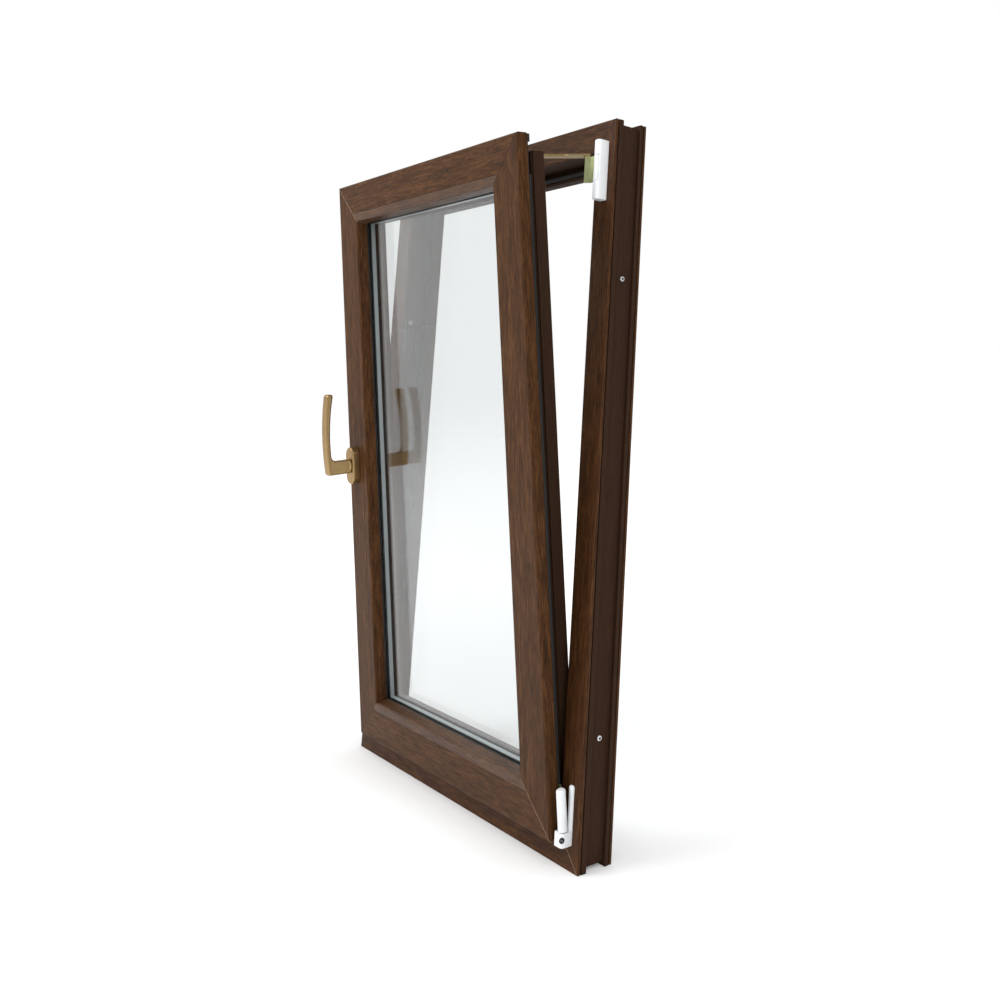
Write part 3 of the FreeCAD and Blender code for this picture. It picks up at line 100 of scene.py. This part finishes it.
def walnut_foil(name, along, stand, ring, plain_zones, tones, shine=0.14):
    """Foil on a ring of mitred bars: a satin walnut print along the bar, with fine weld lines.

    The ring is its half width, its foot and its head. A plain zone is a front and a back depth, and the
    least and the greatest distance from the ring's outer edge.
    """
    finish = new_finish(name)
    tree = finish.node_tree
    place = shut_place(tree, stand)

    def grain(width, length, detail, warp):
        size = [width] * 3
        size["XYZ".index(along)] = length
        laid = add(tree, "ShaderNodeMapping", {"Vector": place, "Scale": size}, vector_type="TEXTURE")
        return add(tree, "ShaderNodeTexNoise", {
            "Vector": laid.outputs["Vector"], "Scale": 1.0, "Detail": detail, "Roughness": 0.6,
            "Distortion": warp,
        }).outputs["Fac"]

    # Print: a broad figure, fine streaks and dark pores. The pores of the real print are about 0.3 mm wide
    # and are drawn three times as coarse, so that they show.
    figure = grain(0.01, 0.1, 3.0, 1.6)
    streaks = grain(0.0016, 0.028, 3.0, 0.5)
    pores = grain(0.001, 0.01, 1.5, 0.3)
    blend = add(tree, "ShaderNodeMix", {0: 0.55, 2: figure, 3: streaks}, data_type="FLOAT")
    tone = add(tree, "ShaderNodeValToRGB", {"Fac": blend.outputs[0]})
    deep, warm, pale = (linear(code) for code in tones)
    steps = tone.color_ramp.elements
    steps[0].position, steps[0].color = 0.36, deep
    steps[1].position, steps[1].color = 0.64, pale
    steps.new(0.5).color = warm
    pits = add(tree, "ShaderNodeMapRange", {
        "Value": pores, "From Min": 0.32, "From Max": 0.46, "To Min": 0.45, "To Max": 1.0,
    }).outputs["Result"]
    colour = add(tree, "ShaderNodeMix", {0: 1.0, 6: tone.outputs["Color"], 7: pits},
                 data_type="RGBA", blend_type="MULTIPLY").outputs[2]

    # Distances from the ring's sides and ends. They are equal along the mitres.
    axes = add(tree, "ShaderNodeSeparateXYZ", {"Vector": place}).outputs
    half_width, low, high = ring
    across = add(tree, "ShaderNodeMath", {0: axes["X"]}, operation="ABSOLUTE").outputs[0]
    side_edge = add(tree, "ShaderNodeMath", {0: half_width, 1: across}, operation="SUBTRACT").outputs[0]
    rise = add(tree, "ShaderNodeMath", {0: axes["Z"], 1: (low + high) / 2}, operation="SUBTRACT").outputs[0]
    height = add(tree, "ShaderNodeMath", {0: rise}, operation="ABSOLUTE").outputs[0]
    half_height = (high - low) / 2
    end_edge = add(tree, "ShaderNodeMath", {0: half_height, 1: height}, operation="SUBTRACT").outputs[0]
    offset = add(tree, "ShaderNodeMath", {0: side_edge, 1: end_edge}, operation="SUBTRACT").outputs[0]
    offset = add(tree, "ShaderNodeMath", {0: offset}, operation="ABSOLUTE").outputs[0]

    # Paler edges: the foil is paler where the surface bends, partly rubbed wear and partly a painted
    # highlight along the edge, but not beside a weld.
    eased = add(tree, "ShaderNodeBevel", {"Radius": 0.001}, samples=4).outputs["Normal"]
    flat = add(tree, "ShaderNodeNewGeometry").outputs["True Normal"]
    bend = add(tree, "ShaderNodeVectorMath", {0: eased, 1: flat}, operation="DOT_PRODUCT").outputs["Value"]
    rubbed_and_highlit = add(tree, "ShaderNodeMapRange", {
        "Value": bend, "From Min": 0.98, "From Max": 0.8, "To Min": 0.0, "To Max": 0.3,
    }).outputs["Result"]
    clear_of_weld = add(tree, "ShaderNodeMapRange", {
        "Value": offset, "From Min": 0.0012, "From Max": 0.0016,
    }).outputs["Result"]
    worn_and_highlit = add(tree, "ShaderNodeMath", {0: rubbed_and_highlit, 1: clear_of_weld}, operation="MULTIPLY").outputs[0]
    colour = add(tree, "ShaderNodeMix", {0: worn_and_highlit, 6: colour, 7: linear("8a6448")},
                 data_type="RGBA").outputs[2]

    # Welds: dark and closed at two corners; at the two others the line is pale, a painted highlight where
    # the weld's groove catches the light.
    weld = add(tree, "ShaderNodeMapRange", {
        "Value": offset, "From Min": 0.0004, "From Max": 0.001, "To Min": 1.0, "To Max": 0.0,
    }).outputs["Result"]
    corner = add(tree, "ShaderNodeMath", {0: axes["X"], 1: rise}, operation="MULTIPLY").outputs[0]
    highlit_corners = add(tree, "ShaderNodeMath", {0: corner, 1: 0.0}, operation="LESS_THAN").outputs[0]
    line = add(tree, "ShaderNodeMix", {0: highlit_corners, 6: linear("160b05"), 7: linear("947a62")},
               data_type="RGBA").outputs[2]
    colour = add(tree, "ShaderNodeMix", {0: weld, 6: colour, 7: line}, data_type="RGBA").outputs[2]

    # Bare plastic in the plain zones.
    edge = add(tree, "ShaderNodeMath", {0: side_edge, 1: end_edge}, operation="MINIMUM").outputs[0]
    bare = 0.0
    for front, back, near, far in plain_zones:
        inside = 1.0
        for value, limit, test in (
            (axes["Y"], front, "GREATER_THAN"),
            (axes["Y"], back, "LESS_THAN"),
            (edge, near, "GREATER_THAN"),
            (edge, far, "LESS_THAN"),
        ):
            passed = add(tree, "ShaderNodeMath", {0: value, 1: limit}, operation=test).outputs[0]
            inside = add(tree, "ShaderNodeMath", {0: passed, 1: inside}, operation="MULTIPLY").outputs[0]
        bare = add(tree, "ShaderNodeMath", {0: inside, 1: bare}, operation="MAXIMUM").outputs[0]
    mass = add(tree, "ShaderNodeMix", {0: streaks, 6: linear("23160d"), 7: linear("452e1f")},
               data_type="RGBA").outputs[2]
    colour = add(tree, "ShaderNodeMix", {0: bare, 6: colour, 7: mass}, data_type="RGBA").outputs[2]

    # Gloss and relief: the streaks shine unevenly, and pores and welds are pressed in.
    gloss = add(tree, "ShaderNodeMapRange", {
        "Value": streaks, "From Min": 0.3, "From Max": 0.7, "To Min": 0.5, "To Max": 0.38,
    }).outputs["Result"]
    dull = add(tree, "ShaderNodeMix", {0: bare, 2: gloss, 3: 0.7}, data_type="FLOAT").outputs[0]
    groove = add(tree, "ShaderNodeMath", {0: pits, 1: weld}, operation="SUBTRACT").outputs[0]
    relief = add(tree, "ShaderNodeBump", {
        "Height": groove, "Strength": 0.4, "Distance": 0.0003, "Normal": eased,
    }).outputs["Normal"]
    body = add(tree, "ShaderNodeBsdfPrincipled", {
        "Base Color": colour, "Roughness": dull, "Normal": relief, "IOR": 1.45, "Specular IOR Level": shine,
    })
    add(tree, "ShaderNodeOutputMaterial", {"Surface": body.outputs["BSDF"]})
    return finish


upright = Matrix.Identity(4)
jamb_low, jamb_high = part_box("frame_jamb_right")
frame_ring = (jamb_high.x, jamb_low.z, jamb_high.z)
beyond_ring = -0.001
foot_wrap = 0.005
channel_floor = 0.0075
rebate_wrap = 0.002
rebate_side = 0.0447
past_rebate = 0.1
frame_plain = [
    (jamb_low.y + foot_wrap, jamb_high.y - foot_wrap, beyond_ring, channel_floor),
    (jamb_low.y + rebate_wrap, jamb_high.y - rebate_wrap, rebate_side, past_rebate),
]
frame_tones = ("301c0d", "482c17", "5d3b20")
dress(walnut_foil("walnut_foil_jambs", "Z", upright, frame_ring, frame_plain, frame_tones),
      "frame_jamb_left", "frame_jamb_right")
dress(walnut_foil("walnut_foil_head_and_sill", "X", upright, frame_ring, frame_plain, frame_tones),
      "frame_head", "frame_sill")


# Reinforcement screws: self-drilling steel screws through the channel between the feet into the steel
# inside each jamb. Their round zinc-plated heads are bright, and painted shade in the drive recess and
# where the head meets the wall reads as a dark dot.
def pick(piece, wanted):
    """Selects the faces at the places that wanted names and opens the piece for editing."""
    bpy.ops.object.mode_set(mode="OBJECT")
    for parts in (piece.data.vertices, piece.data.edges):
        parts.foreach_set("select", [False] * len(parts))
    for face in piece.data.polygons:
        face.select = wanted(face.center, face.normal)
    bpy.ops.object.mode_set(mode="EDIT")
    bpy.ops.mesh.select_mode(type="FACE")


def screw_head(name, radius, height):
    """A domed screw head on its seat, pointing up, with a round drive recess."""
    bpy.ops.object.select_all(action="DESELECT")
    bpy.ops.mesh.primitive_cylinder_add(vertices=28, radius=radius, depth=height,
                                        location=(0, 0, height / 2))
    head = bpy.context.object
    bpy.ops.object.transform_apply(location=True)
    head.name = name
    pick(head, lambda centre, normal: normal.z > 0.9)
    # The dome, the flat round the drive, and the drive's wall.
    bpy.ops.mesh.inset(thickness=radius * 0.2, depth=height * 0.35)
    bpy.ops.mesh.inset(thickness=radius * 0.28, depth=0)
    bpy.ops.mesh.inset(thickness=radius * 0.04, depth=-height * 1.1)
    bpy.ops.object.mode_set(mode="OBJECT")
    bpy.ops.object.shade_smooth_by_angle(angle=math.radians(40))
    return head


def set_copy(pattern, name, body, finish, spot, way, stand=upright):
    """A copy of a small piece, set on a spot of the shut window, facing a way, and moved with its body."""
    copy = bpy.data.objects.new(name, pattern.data.copy())
    bpy.context.scene.collection.objects.link(copy)
    turn = Vector(way).to_track_quat("Z", "Y").to_matrix().to_4x4()
    copy.data.transform(stand @ Matrix.Translation(spot) @ turn)
    copy.data.materials.clear()
    copy.data.materials.append(finish)
    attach(copy, body)


bright_zinc = new_finish("bright_zinc_screws")
tree = bright_zinc.node_tree
# Painted shade: ambient occlusion darkens the zinc towards near black in the drive recess and at the head's
# foot.
open_sky = add(tree, "ShaderNodeAmbientOcclusion", {"Distance": 0.004}, samples=8).outputs["AO"]
unshaded_share = add(tree, "ShaderNodeMapRange", {"Value": open_sky, "From Min": 0.4, "From Max": 0.75})
skin = add(tree, "ShaderNodeMix", {0: unshaded_share.outputs["Result"], 6: linear("161617"), 7: linear("e2e5e7")},
           data_type="RGBA").outputs[2]
body = add(tree, "ShaderNodeBsdfPrincipled", {"Base Color": skin, "Roughness": 0.3, "Metallic": 0.4})
add(tree, "ShaderNodeOutputMaterial", {"Surface": body.outputs["BSDF"]})

steel_screw = screw_head("screw_pattern", 0.0036, 0.002)
seat_depth = 0.0055
seat_x = jamb_high.x - seat_depth
half_depth = 0.029
seat_y = jamb_low.y + half_depth
for side, wall in ((1, "right"), (-1, "left")):
    for level, height in (("upper", 0.806), ("lower", 0.169)):
        set_copy(steel_screw, f"jamb_screw_{wall}_{level}", "frame", bright_zinc,
                 (side * seat_x, seat_y, height), (side, 0, 0))

# Sash: the same foil on its own welded bars, leaning with the sash, and on the clipped-in glazing beads.
# The level beads shine a little more. The sides of the rebate behind the flange are bare brown plastic.
joints = {joint["name"]: joint for joint in frame["record"]["behaviour"]["joints"]}
tilt = math.radians(joints["sash_tilt"]["range_deg"][1])
tilt_line = Vector(joints["sash_tilt"]["pos_m"])
lean = Matrix.Translation(tilt_line) @ Matrix.Rotation(tilt, 4, "X") @ Matrix.Translation(-tilt_line)


def shut_points(name):
    """The points of a CAD node on the sash, while the window is shut."""
    return [lean.inverted() @ vertex.co for vertex in frame["nodes"][name].data.vertices]


stile = shut_points("sash_stile_right")
sash_front = min(point.y for point in stile)
sash_back = max(point.y for point in stile)
sash_right = max(point.x for point in stile)
sash_foot = min(point.z for point in stile)
sash_head = max(point.z for point in stile)
sash_ring = (sash_right, sash_foot, sash_head)
sash_flange = sash_front + 0.0175
foil_turn = 0.0001
back_wrap = 0.001
sash_width = 0.045
sash_plain = [(sash_flange + foil_turn, sash_back - back_wrap, beyond_ring, sash_width)]
sash_tones = ("341f0d", "4b2e16", "634023")
dress(walnut_foil("walnut_foil_stiles", "Z", lean, sash_ring, sash_plain, sash_tones),
      "sash_stile_left", "sash_stile_right", "bead_left", "bead_right")
dress(walnut_foil("walnut_foil_rails", "X", lean, sash_ring, sash_plain, sash_tones),
      "sash_rail_top", "sash_rail_bottom")
dress(walnut_foil("walnut_foil_level_beads", "X", lean, sash_ring, sash_plain, sash_tones, shine=0.5),
      "bead_top", "bead_bottom")


# Seals: black thermoplastic rubber, extruded and pressed into grooves of the frame, the sash and the beads.
# The rubber is soft and slightly dusty, so it looks dull.
def plain_finish(name, colour, roughness, metallic=0.0, spread=0.08, edge=0.0004, grit=0.4):
    """A moulded, plated or extruded skin: a fine grit that shifts its gloss a little, and eased edges."""
    finish = new_finish(name)
    tree = finish.node_tree
    place = add(tree, "ShaderNodeTexCoord").outputs["Object"]
    grit_width, grit_height, cloud_width = 0.0006, 0.00002, 0.03
    speck = add(tree, "ShaderNodeTexNoise", {"Vector": place, "Scale": 1 / grit_width, "Detail": 2.0})
    cloud = add(tree, "ShaderNodeTexNoise", {
        "Vector": place, "Scale": 1 / cloud_width, "Detail": 3.0,
    }).outputs["Fac"]
    dull = add(tree, "ShaderNodeMapRange", {
        "Value": cloud, "From Min": 0.3, "From Max": 0.7,
        "To Min": roughness - spread, "To Max": roughness + spread,
    })
    tint = linear(colour)[:3]
    shade = add(tree, "ShaderNodeMix", {
        0: cloud, 6: [c * 0.9 for c in tint] + [1.0], 7: [min(c * 1.1, 1.0) for c in tint] + [1.0],
    }, data_type="RGBA")
    eased = add(tree, "ShaderNodeBevel", {"Radius": edge}, samples=12)
    relief = add(tree, "ShaderNodeBump", {
        "Height": speck.outputs["Fac"], "Strength": grit, "Distance": grit_height,
        "Normal": eased.outputs["Normal"],
    })
    body = add(tree, "ShaderNodeBsdfPrincipled", {
        "Base Color": shade.outputs[2], "Roughness": dull.outputs["Result"], "Metallic": metallic,
        "Normal": relief.outputs["Normal"],
    })
    add(tree, "ShaderNodeOutputMaterial", {"Surface": body.outputs["BSDF"]})
    return finish


rubber = plain_finish("black_rubber", "161616", 0.55)
dress(rubber, "frame_gasket", "sash_gasket", "glazing_gasket_inner", "glazing_gasket_outer")

# Seal ends: where the two hinge leaves pass behind the flange, the seal's lip is cut off and only its thin
# back is left.
seal_x = sash_right - 0.004
seal_width = 0.006
seal_thick = 0.001
seal_rim = 0.0006
seal_rise = 0.0002
for spot, low, high in (("lower", 0.0593, 0.1097), ("upper", 0.9448, 0.9909)):
    bpy.ops.object.select_all(action="DESELECT")
    middle = (seal_x, sash_flange + seal_thick / 2, (low + high) / 2)
    bpy.ops.mesh.primitive_cube_add(size=1, location=middle)
    strip = bpy.context.object
    strip.name = f"seal_back_{spot}"
    strip.scale = (seal_width, seal_thick, high - low)
    bpy.ops.object.transform_apply()
    pick(strip, lambda centre, normal: normal.y > 0.9)
    bpy.ops.mesh.inset(thickness=seal_rim, depth=0)
    bpy.ops.mesh.extrude_region_move(TRANSFORM_OT_translate={"value": (0, seal_rise, 0)})
    bpy.ops.object.mode_set(mode="OBJECT")
    strip.data.transform(lean)
    strip.data.materials.append(rubber)
    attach(strip, "sash")

# Double glazing: two panes of float glass, clear and almost colourless, on a light grey spacer bar with
# fine perforations. Black sealant along both edges of the bar sticks it to the panes.
glass = new_finish("float_glass")
tree = glass.node_tree
glass_tint = linear("f8fafa")
pane = add(tree, "ShaderNodeBsdfPrincipled", {
    "Base Color": glass_tint, "Roughness": 0.0, "IOR": 1.5, "Transmission Weight": 1.0,
})
clear = add(tree, "ShaderNodeBsdfTransparent", {"Color": glass_tint})
lamp_ray = add(tree, "ShaderNodeLightPath").outputs["Is Shadow Ray"]
shown = add(tree, "ShaderNodeMixShader", {0: lamp_ray, 1: pane.outputs["BSDF"], 2: clear.outputs["BSDF"]})
add(tree, "ShaderNodeOutputMaterial", {"Surface": shown.outputs["Shader"]})
dress(glass, "glass_pane_inner", "glass_pane_outer")

spacer = new_finish("perforated_spacer")
tree = spacer.node_tree
place = shut_place(tree, lean)
hole_pitch = 0.0022
holes = add(tree, "ShaderNodeTexVoronoi", {"Vector": place, "Scale": 1 / hole_pitch, "Randomness": 0.15})
dot = add(tree, "ShaderNodeMapRange", {
    "Value": holes.outputs["Distance"], "From Min": 0.2, "From Max": 0.34,
}).outputs["Result"]
skin = add(tree, "ShaderNodeMix", {0: dot, 6: linear("5a5e61"), 7: linear("aeb6b9")},
           data_type="RGBA").outputs[2]
spacer_middle = sash_front + 0.03
clear_half = 0.0034
depth = add(tree, "ShaderNodeSeparateXYZ", {"Vector": place}).outputs["Y"]
aside = add(tree, "ShaderNodeMath", {0: depth, 1: spacer_middle}, operation="SUBTRACT").outputs[0]
aside = add(tree, "ShaderNodeMath", {0: aside}, operation="ABSOLUTE").outputs[0]
sealed = add(tree, "ShaderNodeMath", {0: aside, 1: clear_half}, operation="GREATER_THAN").outputs[0]
skin = add(tree, "ShaderNodeMix", {0: sealed, 6: skin, 7: linear("141414")}, data_type="RGBA").outputs[2]
body = add(tree, "ShaderNodeBsdfPrincipled", {"Base Color": skin, "Roughness": 0.42, "Metallic": 0.3})
add(tree, "ShaderNodeOutputMaterial", {"Surface": body.outputs["BSDF"]})
dress(spacer, "glass_spacer")

# Gear: pressed steel faceplates and cams, zinc plated, and dull die-cast strikes, all screwed down.
# The plating is a cool, slightly cloudy grey.
zinc = plain_finish("zinc_plate", "c4c7ca", 0.35, metallic=1.0)
dress(zinc, "gear_faceplate_left", "gear_faceplate_top", "gear_faceplate_bottom", "locking_cams",
      "pivot_post", "stay_link")
dress(plain_finish("dull_die_cast", "4c4843", 0.6, metallic=0.4), "strike_plates")
gear_y = jamb_low.y + 0.008
plate_inset = 0.02
for count, height in enumerate((0.2, 0.44, 0.62, 0.86), start=1):
    set_copy(steel_screw, f"faceplate_screw_left_{count}", "sash", zinc,
             (plate_inset - sash_right, gear_y, height), (-1, 0, 0), lean)
for count, across in enumerate((-0.18, 0.07), start=1):
    set_copy(steel_screw, f"faceplate_screw_top_{count}", "sash", zinc,
             (across, gear_y, sash_head - plate_inset), (0, 0, 1), lean)
for count, across in enumerate((-0.19, 0.19), start=1):
    set_copy(steel_screw, f"faceplate_screw_bottom_{count}", "sash", zinc,
             (across, gear_y, sash_foot + plate_inset), (0, 0, -1), lean)
strike_y = jamb_low.y + 0.011
lock_side_x = -0.277
strike_x = 0.024
for name, spot, way in (
    ("left_upper", (lock_side_x, strike_y, 0.764), (1, 0, 0)),
    ("left_lower", (lock_side_x, strike_y, 0.324), (1, 0, 0)),
    ("head", (strike_x, strike_y, 0.989), (0, 0, -1)),
    ("sill", (strike_x, strike_y, 0.051), (0, 0, 1)),
):
    set_copy(steel_screw, f"strike_screw_{name}", "frame", zinc, spot, way)

# Stay: pressed steel, zinc plated and chromated, which stains it a cloudy yellow green. The knuckle's leaf
# is paler than the rolled arm above it.
chromate = new_finish("yellow_chromate")
tree = chromate.node_tree
place = add(tree, "ShaderNodeTexCoord").outputs["Object"]
stain_width = 1 / 120
stain = add(tree, "ShaderNodeTexNoise", {
    "Vector": place, "Scale": 1 / stain_width, "Detail": 4.0,
}).outputs["Fac"]
pale = add(tree, "ShaderNodeMix", {0: stain, 6: linear("8f9467"), 7: linear("b4b98c")},
           data_type="RGBA").outputs[2]
tan = add(tree, "ShaderNodeMix", {0: stain, 6: linear("7d6a45"), 7: linear("a9925f")},
          data_type="RGBA").outputs[2]
height = add(tree, "ShaderNodeSeparateXYZ", {"Vector": place}).outputs["Z"]
arm_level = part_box("stay_arm")[1].z - 0.006
on_arm = add(tree, "ShaderNodeMath", {0: height, 1: arm_level}, operation="GREATER_THAN").outputs[0]
skin = add(tree, "ShaderNodeMix", {0: on_arm, 6: pale, 7: tan}, data_type="RGBA").outputs[2]
body = add(tree, "ShaderNodeBsdfPrincipled", {"Base Color": skin, "Roughness": 0.4, "Metallic": 0.75})
add(tree, "ShaderNodeOutputMaterial", {"Surface": body.outputs["BSDF"]})
dress(chromate, "stay_arm", "stay_bearing", "corner_hinge")

# Stiffener rivets and slide roller: two flat rivets on top of the arm, and a dark steel roller round its
# slide pin.
hinge = Vector(joints["stay_swing"]["pos_m"])
ratios = {pair["joint"]: pair["ratio"] for pair in frame["record"]["behaviour"]["couplings"]}
swing = (Matrix.Translation(hinge) @ Matrix.Rotation(tilt * ratios["stay_swing"], 4, "Z")
         @ Matrix.Translation(-hinge))
rivet = screw_head("rivet_pattern", 0.003, 0.0006)
stiffener_top = 0.9913
for count, across in enumerate((0.216, 0.262), start=1):
    set_copy(rivet, f"stiffener_rivet_{count}", "stay", zinc,
             (across, gear_y, stiffener_top), (0, 0, 1), swing)
roller = screw_head("roller_pattern", 0.0052, 0.0024)
dark_steel = plain_finish("dark_steel", "2a2b2d", 0.4, metallic=0.8)
arm_reach = 0.185
arm_underside = 0.9875
set_copy(roller, "slide_roller", "stay", dark_steel,
         (hinge.x - arm_reach, gear_y, arm_underside), (0, 0, -1), swing)

# Hinge caps: smooth moulded white plastic, pushed over the steel. The lower bearing's height is set with a
# dark socket screw in its rounded corner.
dress(plain_finish("white_caps", "f4f9fe", 0.35, edge=0.0012), "stay_bearing_caps", "stay_knuckle_cover",
      "pivot_bearing", "pivot_bearing_cover", "corner_hinge_cover")
adjuster = (0.31095, jamb_low.y - 0.01535, 0.0442)
corner_way = (1, -1, 0)
socket = screw_head("socket_pattern", 0.0021, 0.0012)
set_copy(steel_screw, "bearing_adjuster_ring", "frame", dark_steel, adjuster, corner_way)
set_copy(socket, "bearing_adjuster_screw", "frame", zinc, adjuster, corner_way)
for pattern in (steel_screw, rivet, roller, socket):
    bpy.data.objects.remove(pattern)

# Drain caps: hoods of moulded brown plastic, clipped over the drain slots on the outside of the sill.
# They are plain and fairly dull.
dress(plain_finish("brown_caps", "3d2517", 0.5), "drain_caps")

# Handle: a lever and a rosette of die-cast zinc with a satin champagne-gold skin. The lever's edges run out
# in soft rounds, so that one bright band follows the grip. Its spindle is hidden in the rosette and is cut
# off behind the collar.
champagne_gold = plain_finish("champagne_gold", "b6986b", 0.38, metallic=1.0,
                              spread=0.04, edge=0.002, grit=0.1)
dress(champagne_gold, "handle_rosette")
bpy.ops.object.select_all(action="DESELECT")
lever = bpy.data.objects.new("lever_casting", frame["nodes"]["handle_lever"].data.copy())
bpy.context.scene.collection.objects.link(lever)
bpy.context.view_layer.objects.active = lever
lever.select_set(True)
bpy.ops.object.mode_set(mode="EDIT")
bpy.ops.mesh.select_all(action="SELECT")
bpy.ops.mesh.remove_doubles(threshold=0.00001)
collar_gap = 0.0002
cut_depth = min(point.y for point in shut_points("handle_rosette")) - collar_gap
bpy.ops.mesh.bisect(plane_co=lean @ Vector((0, cut_depth, 0)), plane_no=lean.to_3x3() @ Vector((0, 1, 0)),
                    use_fill=True, clear_outer=True)
bpy.ops.object.mode_set(mode="OBJECT")
cast = lever.modifiers.new("cast", "REMESH")
cast.mode = "VOXEL"
cast.voxel_size = 0.0008
bpy.ops.object.modifier_apply(modifier="cast")
rounds = lever.modifiers.new("rounds", "SMOOTH")
rounds.factor = 0.5
rounds.iterations = 40
bpy.ops.object.modifier_apply(modifier="rounds")
bpy.ops.object.shade_smooth()
lever.data.materials.clear()
lever.data.materials.append(champagne_gold)
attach(lever, "handle")
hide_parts("handle_lever")

# Stage: a white paper floor that keeps the shadow and fades into a white surrounding. Metal and glass see
# the surrounding a little darker on the right. Two soft boxes light the window from the room side.
bpy.ops.object.select_all(action="DESELECT")
bpy.ops.mesh.primitive_plane_add(size=30, location=(0, 0, 0))
floor = bpy.context.object
floor.name = "floor"
paper = new_finish("white_floor")
tree = paper.node_tree
sheet = add(tree, "ShaderNodeBsdfDiffuse", {"Color": (0.9, 0.9, 0.9, 1)})
path = add(tree, "ShaderNodeLightPath").outputs
through = add(tree, "ShaderNodeMath", {0: path["Is Transmission Ray"], 1: 0.6},
              operation="MULTIPLY").outputs[0]
seen = add(tree, "ShaderNodeMath", {0: path["Is Camera Ray"], 1: through}, operation="MAXIMUM").outputs[0]
spot = add(tree, "ShaderNodeTexCoord").outputs["Object"]
reach = add(tree, "ShaderNodeVectorMath", {0: spot}, operation="LENGTH").outputs["Value"]
fade = add(tree, "ShaderNodeMapRange", {
    "Value": reach, "From Min": 0.5, "From Max": 2.2, "To Min": 0.17, "To Max": 0.45,
}, interpolation_type="SMOOTHSTEP").outputs["Result"]
lift = add(tree, "ShaderNodeMath", {0: seen, 1: fade}, operation="MULTIPLY").outputs[0]
glow = add(tree, "ShaderNodeEmission", {"Color": (1, 1, 1, 1), "Strength": lift})
both = add(tree, "ShaderNodeAddShader", {0: sheet.outputs["BSDF"], 1: glow.outputs["Emission"]})
add(tree, "ShaderNodeOutputMaterial", {"Surface": both.outputs["Shader"]})
floor.data.materials.append(paper)

world = bpy.data.worlds.new("studio")
bpy.context.scene.world = world
world.use_nodes = True
tree = world.node_tree
tree.nodes.clear()
path = add(tree, "ShaderNodeLightPath").outputs
way = add(tree, "ShaderNodeTexCoord").outputs["Generated"]
right = add(tree, "ShaderNodeSeparateXYZ", {"Vector": way}).outputs["X"]
mirror = add(tree, "ShaderNodeMapRange", {
    "Value": right, "From Min": -0.3, "From Max": 0.8, "To Min": 0.68, "To Max": 0.25,
}).outputs["Result"]
level = add(tree, "ShaderNodeMix", {0: path["Is Glossy Ray"], 2: 0.76, 3: mirror},
            data_type="FLOAT").outputs[0]
through = add(tree, "ShaderNodeMath", {0: path["Is Transmission Ray"], 1: 0.95},
              operation="MULTIPLY").outputs[0]
level = add(tree, "ShaderNodeMath", {0: level, 1: through}, operation="MAXIMUM").outputs[0]
level = add(tree, "ShaderNodeMath", {0: level, 1: path["Is Camera Ray"]}, operation="MAXIMUM").outputs[0]
sky = add(tree, "ShaderNodeBackground", {"Color": (1, 1, 1, 1), "Strength": level})
add(tree, "ShaderNodeOutputWorld", {"Surface": sky.outputs["Background"]})


def soft_box(name, spot, aim, size, power):
    """A soft box that points at a spot."""
    light = bpy.data.lights.new(name, "AREA")
    light.size = size
    light.energy = power
    stand = bpy.data.objects.new(name, light)
    bpy.context.scene.collection.objects.link(stand)
    stand.location = spot
    stand.rotation_euler = (Vector(aim) - Vector(spot)).to_track_quat("-Z", "Y").to_euler()


soft_box("key", (-0.9, -2.6, 2.3), (0, 0, 0.5), 1.8, 58)
soft_box("side", (2.6, -0.6, 2.2), (0.2, 0, 0.5), 1.5, 20)

# Camera: at the photograph's viewing angle, from the hinge side and a little above the window's middle.
# The lens is shifted to the photograph's framing.
view = bpy.data.cameras.new("photo_view")
view.lens = 35.4573
view.sensor_width = 36
view.shift_x = -0.22912
view.shift_y = -0.21311
camera = bpy.data.objects.new("photo_view", view)
bpy.context.scene.collection.objects.link(camera)
camera.location = (1.44802, -0.86537, 0.61861)
camera.rotation_euler = [math.radians(angle) for angle in (97.2813, -2.0433, 45.3106)]
bpy.context.scene.camera = camera
bpy.context.scene.view_settings.view_transform = "Standard"
